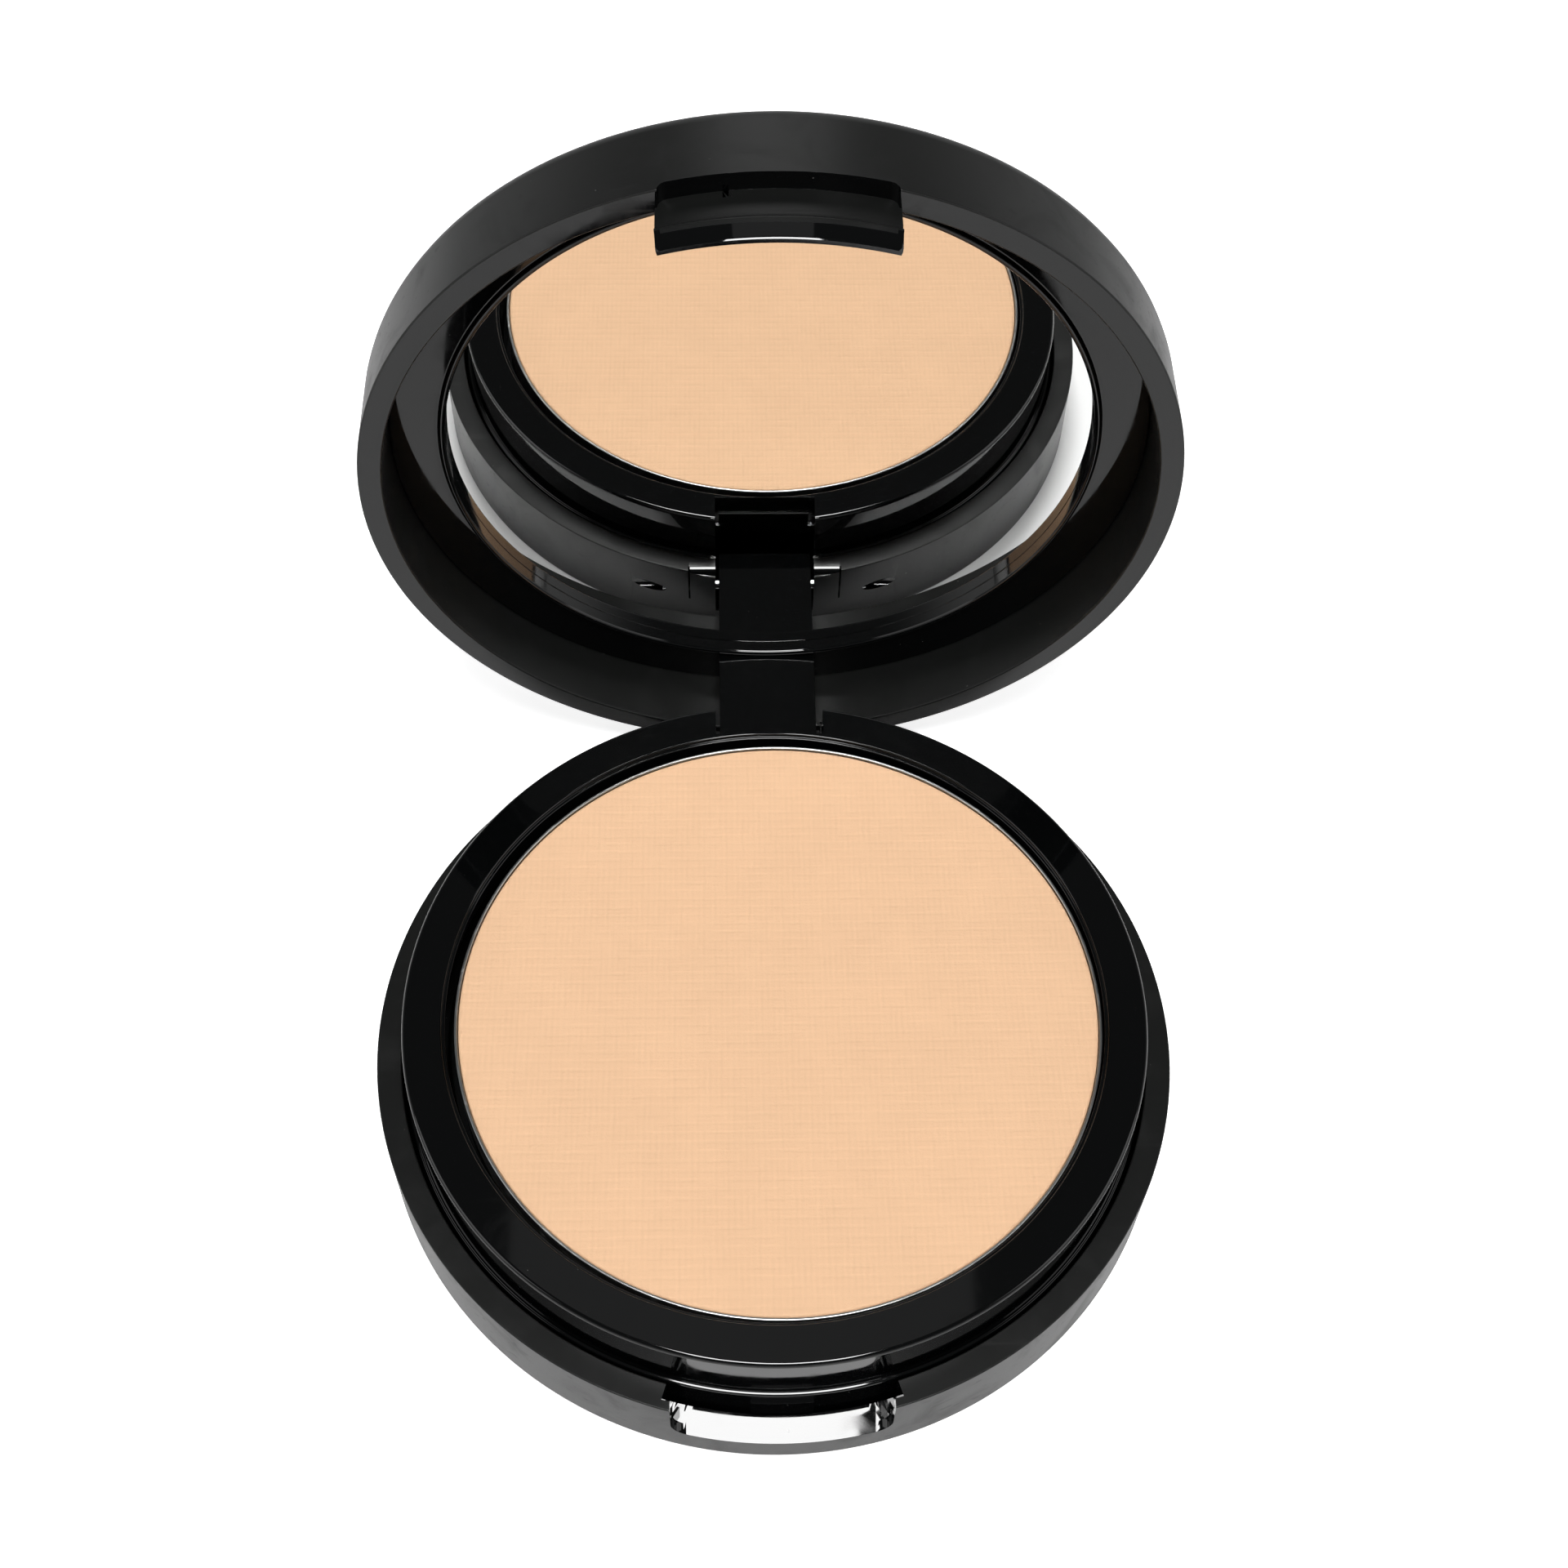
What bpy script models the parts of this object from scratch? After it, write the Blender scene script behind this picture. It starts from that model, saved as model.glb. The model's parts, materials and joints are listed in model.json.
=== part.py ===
"""Round powder compact: a hinged lid with a mirror over a base that holds a pan of pressed powder.

Metres, +Z up. The base stands on z = 0 with its axis on the Z axis, the finger notch faces -Y and
the hinge is at +Y. The lid is modelled closed, on its own axis, and turned open about the hinge.
"""

import math

import bmesh
import bpy
from mathutils import Matrix, Vector

MM = 0.001
TURN_STEPS = 72
ARC_STEPS = 3

# Powder pan and what is in it
PAN_RADIUS = 29.5 * MM
PAN_HEIGHT = 4.05 * MM
PAN_SHEET = 0.35 * MM
PAN_FIT = 0.5 * MM
PAN_DROP = 0.5 * MM
PAN_SHIFT = Vector((0.3 * MM, -0.3 * MM, 0.0))
POWDER_DROP = 0.1 * MM
POWDER_FIT = 0.1 * MM
ADHESIVE_THICKNESS = 0.15 * MM
ADHESIVE_MARGIN = 2.5 * MM
SEAT_GAP = 0.05 * MM

# Pan carrier: the raised deck round the powder, and the skirt that drops into the casing
DECK_WIDTH = 3.9 * MM
DECK_RISE = 5.7 * MM
CARRIER_WALL = 1.2 * MM
CARRIER_FIT = 0.3 * MM
EDGE_ROUND = 0.25 * MM
LEDGE_DROP = 0.4 * MM

# Base casing
RIM_STEP = 2.9 * MM
BASE_RIM_HEIGHT = 8.9 * MM
BASE_WALL = 2.25 * MM
BASE_FLOOR = 1.5 * MM
BASE_FOOT_ROUND = 0.9 * MM

# Lid
LID_OVERHANG = 0.7 * MM
LID_WALL = 2.2 * MM
LID_TOP = 0.85 * MM
LID_EDGE_ROUND = 2.2 * MM
LID_GAP = 0.2 * MM
DECK_CLEARANCE = 0.5 * MM
LIP_RISE = 0.5 * MM
LIP_WIDTH = 0.6 * MM
LIP_SEAT = 0.95 * MM
MIRROR_BORDER = 5.2 * MM
MIRROR_THICKNESS = 0.8 * MM
MIRROR_OVERLAP = 0.9 * MM
MIRROR_FIT = 0.2 * MM
TAPE_THICKNESS = 0.15 * MM
TAPE_MARGIN = 3.0 * MM
FRAME_FIT = 0.25 * MM

# Hinge
HINGE_INSET = 2.3 * MM
HINGE_HEIGHT = 5.0 * MM
OPEN_ANGLE = math.radians(89.5)
KNUCKLE_WIDTH = 9.9 * MM
KNUCKLE_FIT = 0.4 * MM
KNUCKLE_FRONT = 3.7 * MM
KNUCKLE_BACK = 2.1 * MM
KNUCKLE_BELOW = 1.5 * MM
KNUCKLE_ROUND = 1.2 * MM
STOP_GAP = 0.15 * MM
LUG_WIDTH = 6.9 * MM
LUG_DEPTH = 1.9 * MM
RELIEF_HALF_WIDTH = 8.2 * MM
PIN_RADIUS = 0.6 * MM
PIN_FIT = 0.08 * MM
PIN_SEAT = 0.03 * MM
PIN_LENGTH = 8.6 * MM
PIN_ENTRY = 2.4 * MM

# Catch
TAB_WIDTH = 19.4 * MM
TAB_THICKNESS = 0.85 * MM
TAB_REACH = 4.5 * MM
TAB_INSET = 0.35 * MM
TAB_RIDGE = 0.1 * MM
TAB_RIDGE_DROP = 2.8 * MM
TAB_FIT = 0.2 * MM
POCKET_FIT = 0.5 * MM
NIB_WIDTH = 5.3 * MM
NIB_RISE = 0.45 * MM
NIB_HEIGHT = 3.4 * MM
NIB_DROP = 0.2 * MM
NOTCH_WIDTH = 19.0 * MM
NOTCH_SLOPE = 0.4
NOTCH_CORNER = 1.4 * MM
SLOT_WIDTH = 19.0 * MM
SLOT_DEPTH = 0.6 * MM

# Worked out from the sizes above
WELL_RADIUS = PAN_RADIUS + PAN_FIT
DECK_RADIUS = WELL_RADIUS + DECK_WIDTH
BASE_RADIUS = DECK_RADIUS + RIM_STEP
CASING_BORE = BASE_RADIUS - BASE_WALL
DECK_HEIGHT = BASE_RIM_HEIGHT + DECK_RISE
SKIRT_RADIUS = CASING_BORE - CARRIER_FIT
LEDGE_HEIGHT = BASE_RIM_HEIGHT - LEDGE_DROP
PAN_TOP = DECK_HEIGHT - PAN_DROP
PAN_BOTTOM = PAN_TOP - PAN_HEIGHT
ADHESIVE_TOP = PAN_BOTTOM - SEAT_GAP
WELL_FLOOR = ADHESIVE_TOP - ADHESIVE_THICKNESS - SEAT_GAP
LID_RADIUS = BASE_RADIUS + LID_OVERHANG
LID_BORE = LID_RADIUS - LID_WALL
LID_RIM = BASE_RIM_HEIGHT + LID_GAP
RECESS_DEPTH = DECK_RISE - LID_GAP + DECK_CLEARANCE + LIP_RISE
MIRROR_FACE = RECESS_DEPTH + LIP_SEAT
MIRROR_TOP = MIRROR_FACE + MIRROR_THICKNESS
TAPE_TOP = MIRROR_TOP + SEAT_GAP + TAPE_THICKNESS
LID_CEILING = TAPE_TOP + SEAT_GAP
LID_HEIGHT = LID_CEILING + LID_TOP
MIRROR_OPENING_RADIUS = LID_BORE - MIRROR_BORDER
MIRROR_RADIUS = MIRROR_OPENING_RADIUS + MIRROR_OVERLAP
HINGE_Y = BASE_RADIUS - HINGE_INSET
HINGE_RISE = LID_RIM - HINGE_HEIGHT
LUG_INNER = HINGE_Y - LUG_DEPTH
LUG_START = KNUCKLE_WIDTH / 2 + KNUCKLE_FIT
LUG_END = LUG_START + LUG_WIDTH
KNUCKLE_SWEEP = math.hypot(KNUCKLE_FRONT, KNUCKLE_BELOW)
TAB_INNER_RADIUS = LID_BORE - TAB_INSET
TAB_OUTER_RADIUS = TAB_INNER_RADIUS + TAB_THICKNESS
NOTCH_FLOOR = LID_RIM - TAB_REACH - TAB_FIT
POCKET_RADIUS = TAB_OUTER_RADIUS + TAB_FIT
CUT_MARGIN = 2.0 * MM


def clear_scene():
    for obj in list(bpy.data.objects):
        bpy.data.objects.remove(obj)


def new_collection(name):
    collection = bpy.data.collections.new(name)
    bpy.context.scene.collection.children.link(collection)
    return collection


def new_material(name, colour, roughness, metallic=0.0):
    material = bpy.data.materials.new(name)
    material.use_nodes = True
    shader = material.node_tree.nodes["Principled BSDF"]
    shader.inputs["Base Color"].default_value = (*colour, 1.0)
    shader.inputs["Roughness"].default_value = roughness
    shader.inputs["Metallic"].default_value = metallic
    material.diffuse_color = (*colour, 1.0)
    return material


def add_object(name, mesh, collection, parent=None, location=(0.0, 0.0, 0.0)):
    obj = bpy.data.objects.new(name, mesh)
    collection.objects.link(obj)
    obj.parent = parent
    obj.location = location
    return obj


def rounded(corners):
    """Profile points from (radius, height, rounding) corners, with each rounded corner as an arc."""
    points = []
    for index, (radius, height, rounding) in enumerate(corners):
        corner = Vector((radius, 0.0, height))
        if rounding == 0:
            points.append(corner)
            continue
        before = Vector((corners[index - 1][0], 0.0, corners[index - 1][1]))
        following = corners[(index + 1) % len(corners)]
        after = Vector((following[0], 0.0, following[1]))
        back = (before - corner).normalized()
        ahead = (after - corner).normalized()
        half_angle = back.angle(ahead) / 2
        start = corner + back * rounding / math.tan(half_angle)
        centre = corner + (back + ahead).normalized() * rounding / math.sin(half_angle)
        sweep = Vector((0.0, 1.0, 0.0)) if back.cross(ahead).y > 0 else Vector((0.0, -1.0, 0.0))
        total = math.pi - 2 * half_angle
        for step in range(ARC_STEPS + 1):
            turn = Matrix.Rotation(-total * step / ARC_STEPS, 3, sweep)
            points.append(centre + turn @ (start - centre))
    return points


def turned(name, corners, collection, closed, parent=None, location=(0.0, 0.0, 0.0)):
    """A profile turned about Z with a Screw. A closed profile is a ring, an open one meets the axis."""
    mesh = bpy.data.meshes.new(name)
    points = rounded(corners)
    edges = [(i, i + 1) for i in range(len(points) - 1)]
    if closed:
        edges.append((len(points) - 1, 0))
    mesh.from_pydata(points, edges, [])
    obj = add_object(name, mesh, collection, parent, location)
    screw = obj.modifiers.new("Turn", "SCREW")
    screw.axis = "Z"
    screw.angle = 2 * math.pi
    screw.steps = TURN_STEPS
    screw.render_steps = TURN_STEPS
    screw.use_merge_vertices = True
    screw.merge_threshold = 0.00001
    screw.use_smooth_shade = True
    return obj


def box(name, low, high, collection, parent=None, location=(0.0, 0.0, 0.0)):
    mesh = bpy.data.meshes.new(name)
    work = bmesh.new()
    bmesh.ops.create_cube(work, size=1.0)
    size = Vector(high) - Vector(low)
    middle = (Vector(high) + Vector(low)) / 2
    work.transform(Matrix.Translation(middle) @ Matrix.Diagonal((*size, 1.0)))
    work.to_mesh(mesh)
    work.free()
    return add_object(name, mesh, collection, parent, location)


def rod(name, radius, start, end, collection, segments=24, parent=None, location=(0.0, 0.0, 0.0)):
    """A straight cylinder from one point to another."""
    start = Vector(start)
    end = Vector(end)
    mesh = bpy.data.meshes.new(name)
    work = bmesh.new()
    bmesh.ops.create_cone(
        work, cap_ends=True, segments=segments, radius1=radius, radius2=radius, depth=(end - start).length
    )
    turn = Vector((0.0, 0.0, 1.0)).rotation_difference(end - start).to_matrix().to_4x4()
    work.transform(Matrix.Translation((start + end) / 2) @ turn)
    work.to_mesh(mesh)
    work.free()
    mesh.shade_smooth()
    mesh.set_sharp_from_angle(angle=math.radians(40))
    return add_object(name, mesh, collection, parent, location)


def sector(name, outline, half_width, collection, parent=None, location=(0.0, 0.0, 0.0)):
    """A (radius, height) outline swept about Z, as far to each side of -Y as half_width reaches."""
    reach = math.asin(half_width / max(radius for radius, _ in outline))
    mesh = bpy.data.meshes.new(name)
    work = bmesh.new()
    verts = [work.verts.new((radius, 0.0, height)) for radius, height in outline]
    face = work.faces.new(verts)
    first = -math.pi / 2 - reach
    bmesh.ops.rotate(work, cent=(0, 0, 0), matrix=Matrix.Rotation(first, 3, "Z"), verts=verts)
    bmesh.ops.spin(
        work,
        geom=[face, *face.edges, *face.verts],
        cent=(0, 0, 0),
        axis=(0, 0, 1),
        angle=2 * reach,
        steps=12,
    )
    bmesh.ops.recalc_face_normals(work, faces=work.faces)
    work.to_mesh(mesh)
    work.free()
    return add_object(name, mesh, collection, parent, location)


def combine(obj, other, operation):
    modifier = obj.modifiers.new(other.name, "BOOLEAN")
    modifier.operation = operation
    modifier.object = other
    other.hide_render = True
    other.display_type = "WIRE"


def finish(obj, material):
    """One material for the whole piece, after its cuts."""
    obj.data.materials.clear()
    obj.data.materials.append(material)


def build_base_casing(parts, cutters):
    casing = turned(
        "base_casing",
        [
            (0.0, BASE_FLOOR, 0),
            (CASING_BORE, BASE_FLOOR, 0),
            (CASING_BORE, BASE_RIM_HEIGHT, EDGE_ROUND),
            (BASE_RADIUS, BASE_RIM_HEIGHT, EDGE_ROUND),
            (BASE_RADIUS, 0.0, BASE_FOOT_ROUND),
            (0.0, 0.0, 0),
        ],
        parts,
        closed=False,
    )
    lug_top = LEDGE_HEIGHT - CARRIER_FIT * 2
    lug_radius = BASE_RADIUS - BASE_WALL / 4
    lugs = turned(
        "hinge_lug_block",
        [
            (0.0, lug_top, 0),
            (lug_radius, lug_top, 0),
            (lug_radius, BASE_FLOOR / 2, 0),
            (0.0, BASE_FLOOR / 2, 0),
        ],
        cutters,
        closed=False,
    )
    lug_bounds = box(
        "hinge_lug_bounds",
        (-LUG_END, LUG_INNER, 0.0),
        (LUG_END, BASE_RADIUS + CUT_MARGIN, BASE_RIM_HEIGHT),
        cutters,
    )
    combine(lugs, lug_bounds, "INTERSECT")
    combine(casing, lugs, "UNION")
    knuckle_gap = box(
        "knuckle_gap",
        (-LUG_START, LUG_INNER - CUT_MARGIN, HINGE_HEIGHT - KNUCKLE_BACK - STOP_GAP),
        (LUG_START, BASE_RADIUS + CUT_MARGIN, BASE_RIM_HEIGHT + CUT_MARGIN),
        cutters,
    )
    combine(casing, knuckle_gap, "DIFFERENCE")
    pin_bore = rod(
        "lug_pin_bore",
        PIN_RADIUS + PIN_SEAT,
        (-BASE_RADIUS, HINGE_Y, HINGE_HEIGHT),
        (BASE_RADIUS, HINGE_Y, HINGE_HEIGHT),
        cutters,
    )
    combine(casing, pin_bore, "DIFFERENCE")
    add_swing_relief(casing, cutters)
    add_finger_notch(casing, cutters)
    return casing


def add_swing_relief(casing, cutters):
    """Rounds the casing about the hinge axis, where the lid's rim turns past it."""
    swing = box(
        "swing_relief",
        (-RELIEF_HALF_WIDTH, HINGE_Y, HINGE_HEIGHT),
        (RELIEF_HALF_WIDTH, BASE_RADIUS + CUT_MARGIN, BASE_RIM_HEIGHT + CUT_MARGIN),
        cutters,
    )
    keep = rod(
        "swing_keep",
        BASE_RIM_HEIGHT - HINGE_HEIGHT,
        (-BASE_RADIUS, HINGE_Y, HINGE_HEIGHT),
        (BASE_RADIUS, HINGE_Y, HINGE_HEIGHT),
        cutters,
        segments=48,
    )
    combine(swing, keep, "DIFFERENCE")
    combine(casing, swing, "DIFFERENCE")


def ramp_outline(inner, outer, top):
    """Cutter outline over the notch's sloping floor, which lies TAB_FIT below the closed catch tab."""
    return [
        (inner, NOTCH_FLOOR + NOTCH_SLOPE * (TAB_INNER_RADIUS - inner)),
        (outer, NOTCH_FLOOR + NOTCH_SLOPE * (TAB_INNER_RADIUS - outer)),
        (outer, top),
        (inner, top),
    ]


def add_finger_notch(casing, cutters):
    """The scoop in the front wall, and the wider pocket just inside it that the catch tab drops into."""
    top = BASE_RIM_HEIGHT + CUT_MARGIN
    inner = CASING_BORE - CARRIER_FIT / 2
    outer = BASE_RADIUS + CUT_MARGIN
    scoop = sector(
        "notch_scoop", ramp_outline(inner, outer, top), NOTCH_WIDTH / 2 * outer / BASE_RADIUS, cutters
    )
    round_ends(scoop, NOTCH_CORNER)
    combine(casing, scoop, "DIFFERENCE")
    pocket = sector("tab_pocket", ramp_outline(inner, POCKET_RADIUS, top), TAB_WIDTH / 2 + POCKET_FIT, cutters)
    combine(casing, pocket, "DIFFERENCE")


def round_ends(cutter, rounding):
    """Rounds the two lower edges at a sector's ends, the ones that run outwards from the axis."""
    work = bmesh.new()
    work.from_mesh(cutter.data)
    ends = []
    for edge in work.edges:
        first, second = (vert.co for vert in edge.verts)
        outwards = abs(math.atan2(first.y, first.x) - math.atan2(second.y, second.x)) < SEAT_GAP
        low = max(first.z, second.z) < BASE_RIM_HEIGHT
        if outwards and low and len(edge.link_faces) == 2 and edge.calc_face_angle() > math.pi / 4:
            ends.append(edge)
    bmesh.ops.bevel(work, geom=ends, offset=rounding, segments=5, affect="EDGES", profile=0.5)
    work.to_mesh(cutter.data)
    work.free()


def build_pan_carrier(parts, cutters):
    skirt_foot = BASE_FLOOR + CARRIER_FIT
    channel_inner = WELL_RADIUS + CARRIER_WALL
    channel_outer = DECK_RADIUS - CARRIER_WALL
    carrier = turned(
        "pan_carrier",
        [
            (0.0, WELL_FLOOR, 0),
            (WELL_RADIUS, WELL_FLOOR, 0),
            (WELL_RADIUS, DECK_HEIGHT, EDGE_ROUND),
            (DECK_RADIUS, DECK_HEIGHT, EDGE_ROUND),
            (DECK_RADIUS, LEDGE_HEIGHT, 0),
            (SKIRT_RADIUS, LEDGE_HEIGHT, EDGE_ROUND / 2),
            (SKIRT_RADIUS, skirt_foot, 0),
            (channel_outer, skirt_foot, 0),
            (channel_outer, DECK_HEIGHT - CARRIER_WALL, 0),
            (channel_inner, DECK_HEIGHT - CARRIER_WALL, 0),
            (channel_inner, WELL_FLOOR - CARRIER_WALL, 0),
            (0.0, WELL_FLOOR - CARRIER_WALL, 0),
        ],
        parts,
        closed=False,
    )
    knuckle_slot = box(
        "carrier_knuckle_slot",
        (-LUG_START, HINGE_Y - KNUCKLE_SWEEP - STOP_GAP, 0.0),
        (LUG_START, BASE_RADIUS, DECK_HEIGHT + CUT_MARGIN),
        cutters,
    )
    combine(carrier, knuckle_slot, "DIFFERENCE")
    lug_slot = box(
        "carrier_lug_slot",
        (-LUG_END - CARRIER_FIT, LUG_INNER - CARRIER_FIT, 0.0),
        (LUG_END + CARRIER_FIT, BASE_RADIUS, LEDGE_HEIGHT - CARRIER_FIT),
        cutters,
    )
    combine(carrier, lug_slot, "DIFFERENCE")
    nib_top = LEDGE_HEIGHT - NIB_DROP
    nib = sector(
        "catch_nib",
        [
            (SKIRT_RADIUS - NIB_RISE, nib_top - NIB_HEIGHT),
            (SKIRT_RADIUS + NIB_RISE, nib_top - NIB_HEIGHT + NIB_RISE),
            (SKIRT_RADIUS + NIB_RISE, nib_top - NIB_RISE),
            (SKIRT_RADIUS - NIB_RISE, nib_top),
        ],
        NIB_WIDTH / 2,
        cutters,
    )
    combine(carrier, nib, "UNION")
    return carrier


def build_powder(parts):
    """The tin pan in the well, the glue that holds it, and the pressed powder."""
    inner = PAN_RADIUS - PAN_SHEET
    pan = turned(
        "powder_pan",
        [
            (0.0, PAN_BOTTOM + PAN_SHEET, 0),
            (inner, PAN_BOTTOM + PAN_SHEET, 0),
            (inner, PAN_TOP, 0),
            (PAN_RADIUS, PAN_TOP, 0),
            (PAN_RADIUS, PAN_BOTTOM, EDGE_ROUND),
            (0.0, PAN_BOTTOM, 0),
        ],
        parts,
        closed=False,
        location=PAN_SHIFT,
    )
    powder_radius = inner - POWDER_FIT
    powder_top = PAN_TOP - POWDER_DROP
    powder_bottom = PAN_BOTTOM + PAN_SHEET + SEAT_GAP
    cake = turned(
        "powder_cake",
        [
            (0.0, powder_top, 0),
            (powder_radius, powder_top, 0),
            (powder_radius, powder_bottom, 0),
            (0.0, powder_bottom, 0),
        ],
        parts,
        closed=False,
        location=PAN_SHIFT,
    )
    adhesive_radius = PAN_RADIUS - ADHESIVE_MARGIN
    adhesive = turned(
        "pan_adhesive",
        [
            (0.0, ADHESIVE_TOP, 0),
            (adhesive_radius, ADHESIVE_TOP, 0),
            (adhesive_radius, ADHESIVE_TOP - ADHESIVE_THICKNESS, 0),
            (0.0, ADHESIVE_TOP - ADHESIVE_THICKNESS, 0),
        ],
        parts,
        closed=False,
        location=PAN_SHIFT,
    )
    return pan, cake, adhesive


def build_hinge_pins(parts):
    pins = []
    for side, word in ((-1, "left"), (1, "right")):
        pin = rod(
            "hinge_pin_" + word,
            PIN_RADIUS,
            (0.0, 0.0, 0.0),
            (side * PIN_LENGTH, 0.0, 0.0),
            parts,
            segments=20,
            location=(side * PIN_ENTRY, HINGE_Y, HINGE_HEIGHT),
        )
        pins.append(pin)
    return pins


def build_lid_cover(parts, cutters, hinge, place):
    cover = turned(
        "lid_cover",
        [
            (0.0, LID_HEIGHT, 0),
            (LID_RADIUS, LID_HEIGHT, LID_EDGE_ROUND),
            (LID_RADIUS, 0.0, EDGE_ROUND),
            (LID_BORE, 0.0, EDGE_ROUND),
            (LID_BORE, LID_CEILING, 0),
            (0.0, LID_CEILING, 0),
        ],
        parts,
        closed=False,
        parent=hinge,
        location=place,
    )
    knuckle = knuckle_block(cutters, hinge, place)
    combine(cover, knuckle, "UNION")
    bore = rod(
        "knuckle_bore",
        PIN_RADIUS + PIN_FIT,
        (-KNUCKLE_WIDTH, HINGE_Y, -HINGE_RISE),
        (KNUCKLE_WIDTH, HINGE_Y, -HINGE_RISE),
        cutters,
        parent=hinge,
        location=place,
    )
    combine(cover, bore, "DIFFERENCE")
    slot_outer = LID_RADIUS + CUT_MARGIN
    slot = sector(
        "finger_slot",
        [
            (TAB_OUTER_RADIUS, -CUT_MARGIN),
            (slot_outer, -CUT_MARGIN),
            (slot_outer, SLOT_DEPTH),
            (TAB_OUTER_RADIUS, SLOT_DEPTH),
        ],
        SLOT_WIDTH / 2 * slot_outer / LID_RADIUS,
        cutters,
        hinge,
        place,
    )
    combine(cover, slot, "DIFFERENCE")
    tab = sector(
        "catch_tab",
        [
            (TAB_INNER_RADIUS, -TAB_REACH),
            (TAB_OUTER_RADIUS - EDGE_ROUND, -TAB_REACH),
            (TAB_OUTER_RADIUS, -TAB_REACH + EDGE_ROUND),
            (TAB_OUTER_RADIUS, SLOT_DEPTH * 2),
            (TAB_INNER_RADIUS, SLOT_DEPTH * 2),
            (TAB_INNER_RADIUS, -TAB_RIDGE_DROP + TAB_RIDGE * 2),
            (TAB_INNER_RADIUS - TAB_RIDGE, -TAB_RIDGE_DROP),
            (TAB_INNER_RADIUS, -TAB_RIDGE_DROP - TAB_RIDGE * 2),
        ],
        TAB_WIDTH / 2,
        cutters,
        hinge,
        place,
    )
    combine(cover, tab, "UNION")
    return cover


def knuckle_block(cutters, hinge, place):
    """The block that reaches from the lid down to the hinge axis, rounded along its two lower edges."""
    half = KNUCKLE_WIDTH / 2
    foot = -HINGE_RISE - KNUCKLE_BELOW
    block = box(
        "knuckle_block",
        (-half, HINGE_Y - KNUCKLE_FRONT, foot),
        (half, HINGE_Y + KNUCKLE_BACK, RECESS_DEPTH - SEAT_GAP),
        cutters,
        hinge,
        place,
    )
    work = bmesh.new()
    work.from_mesh(block.data)
    lower = [edge for edge in work.edges if all(abs(vert.co.z - foot) < SEAT_GAP for vert in edge.verts)]
    along_x = [edge for edge in lower if abs(edge.verts[0].co.y - edge.verts[1].co.y) < SEAT_GAP]
    front = [edge for edge in along_x if edge.verts[0].co.y < HINGE_Y]
    back = [edge for edge in along_x if edge.verts[0].co.y > HINGE_Y]
    for edges, rounding in ((front, KNUCKLE_ROUND / 2), (back, KNUCKLE_ROUND)):
        bmesh.ops.bevel(work, geom=edges, offset=rounding, segments=6, affect="EDGES", profile=0.5)
    work.to_mesh(block.data)
    work.free()
    return block


def build_mirror(parts, hinge, place):
    """The ring that frames the mirror, the glass, and the tape behind it."""
    frame_radius = LID_BORE - FRAME_FIT
    pocket_radius = MIRROR_RADIUS + MIRROR_FIT
    pocket_face = MIRROR_FACE - SEAT_GAP
    lip_height = RECESS_DEPTH - LIP_RISE
    frame_top = LID_CEILING - SEAT_GAP
    frame = turned(
        "mirror_frame",
        [
            (frame_radius, frame_top, 0),
            (frame_radius, RECESS_DEPTH, 0),
            (MIRROR_OPENING_RADIUS + LIP_WIDTH, RECESS_DEPTH, 0),
            (MIRROR_OPENING_RADIUS + LIP_WIDTH, lip_height, EDGE_ROUND),
            (MIRROR_OPENING_RADIUS, lip_height, EDGE_ROUND),
            (MIRROR_OPENING_RADIUS, pocket_face, 0),
            (pocket_radius, pocket_face, 0),
            (pocket_radius, frame_top, 0),
        ],
        parts,
        closed=True,
        parent=hinge,
        location=place,
    )
    glass = turned(
        "mirror_glass",
        [
            (0.0, MIRROR_TOP, 0),
            (MIRROR_RADIUS, MIRROR_TOP, 0),
            (MIRROR_RADIUS, MIRROR_FACE, 0),
            (0.0, MIRROR_FACE, 0),
        ],
        parts,
        closed=False,
        parent=hinge,
        location=place,
    )
    tape_radius = MIRROR_RADIUS - TAPE_MARGIN
    tape = turned(
        "mirror_tape",
        [
            (0.0, TAPE_TOP, 0),
            (tape_radius, TAPE_TOP, 0),
            (tape_radius, TAPE_TOP - TAPE_THICKNESS, 0),
            (0.0, TAPE_TOP - TAPE_THICKNESS, 0),
        ],
        parts,
        closed=False,
        parent=hinge,
        location=place,
    )
    return frame, glass, tape


def main():
    clear_scene()
    parts = new_collection("powder_compact")
    cutters = new_collection("powder_compact_cutters")

    shell_black = new_material("shell_black", (0.008, 0.008, 0.009), 0.28)
    gloss_black = new_material("gloss_black", (0.006, 0.006, 0.007), 0.12)
    tin = new_material("pan_tin", (0.72, 0.73, 0.72), 0.35, 1.0)
    powder = new_material("pressed_powder", (0.87, 0.62, 0.43), 0.95)
    glue = new_material("clear_glue", (0.75, 0.74, 0.68), 0.4)
    steel = new_material("pin_steel", (0.62, 0.62, 0.64), 0.25, 1.0)
    silvered = new_material("silvered_glass", (0.92, 0.93, 0.93), 0.02, 1.0)
    tape_white = new_material("foam_tape", (0.8, 0.8, 0.78), 0.8)

    finish(build_base_casing(parts, cutters), shell_black)
    finish(build_pan_carrier(parts, cutters), gloss_black)
    pan, cake, adhesive = build_powder(parts)
    finish(pan, tin)
    finish(cake, powder)
    finish(adhesive, glue)
    for pin in build_hinge_pins(parts):
        finish(pin, steel)

    hinge = add_object("lid_hinge", None, parts, location=(0.0, HINGE_Y, HINGE_HEIGHT))
    hinge.rotation_euler.x = -OPEN_ANGLE
    lid_place = (0.0, -HINGE_Y, HINGE_RISE)
    finish(build_lid_cover(parts, cutters, hinge, lid_place), shell_black)
    frame, glass, tape = build_mirror(parts, hinge, lid_place)
    finish(frame, gloss_black)
    finish(glass, silvered)
    finish(tape, tape_white)


main()
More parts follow.
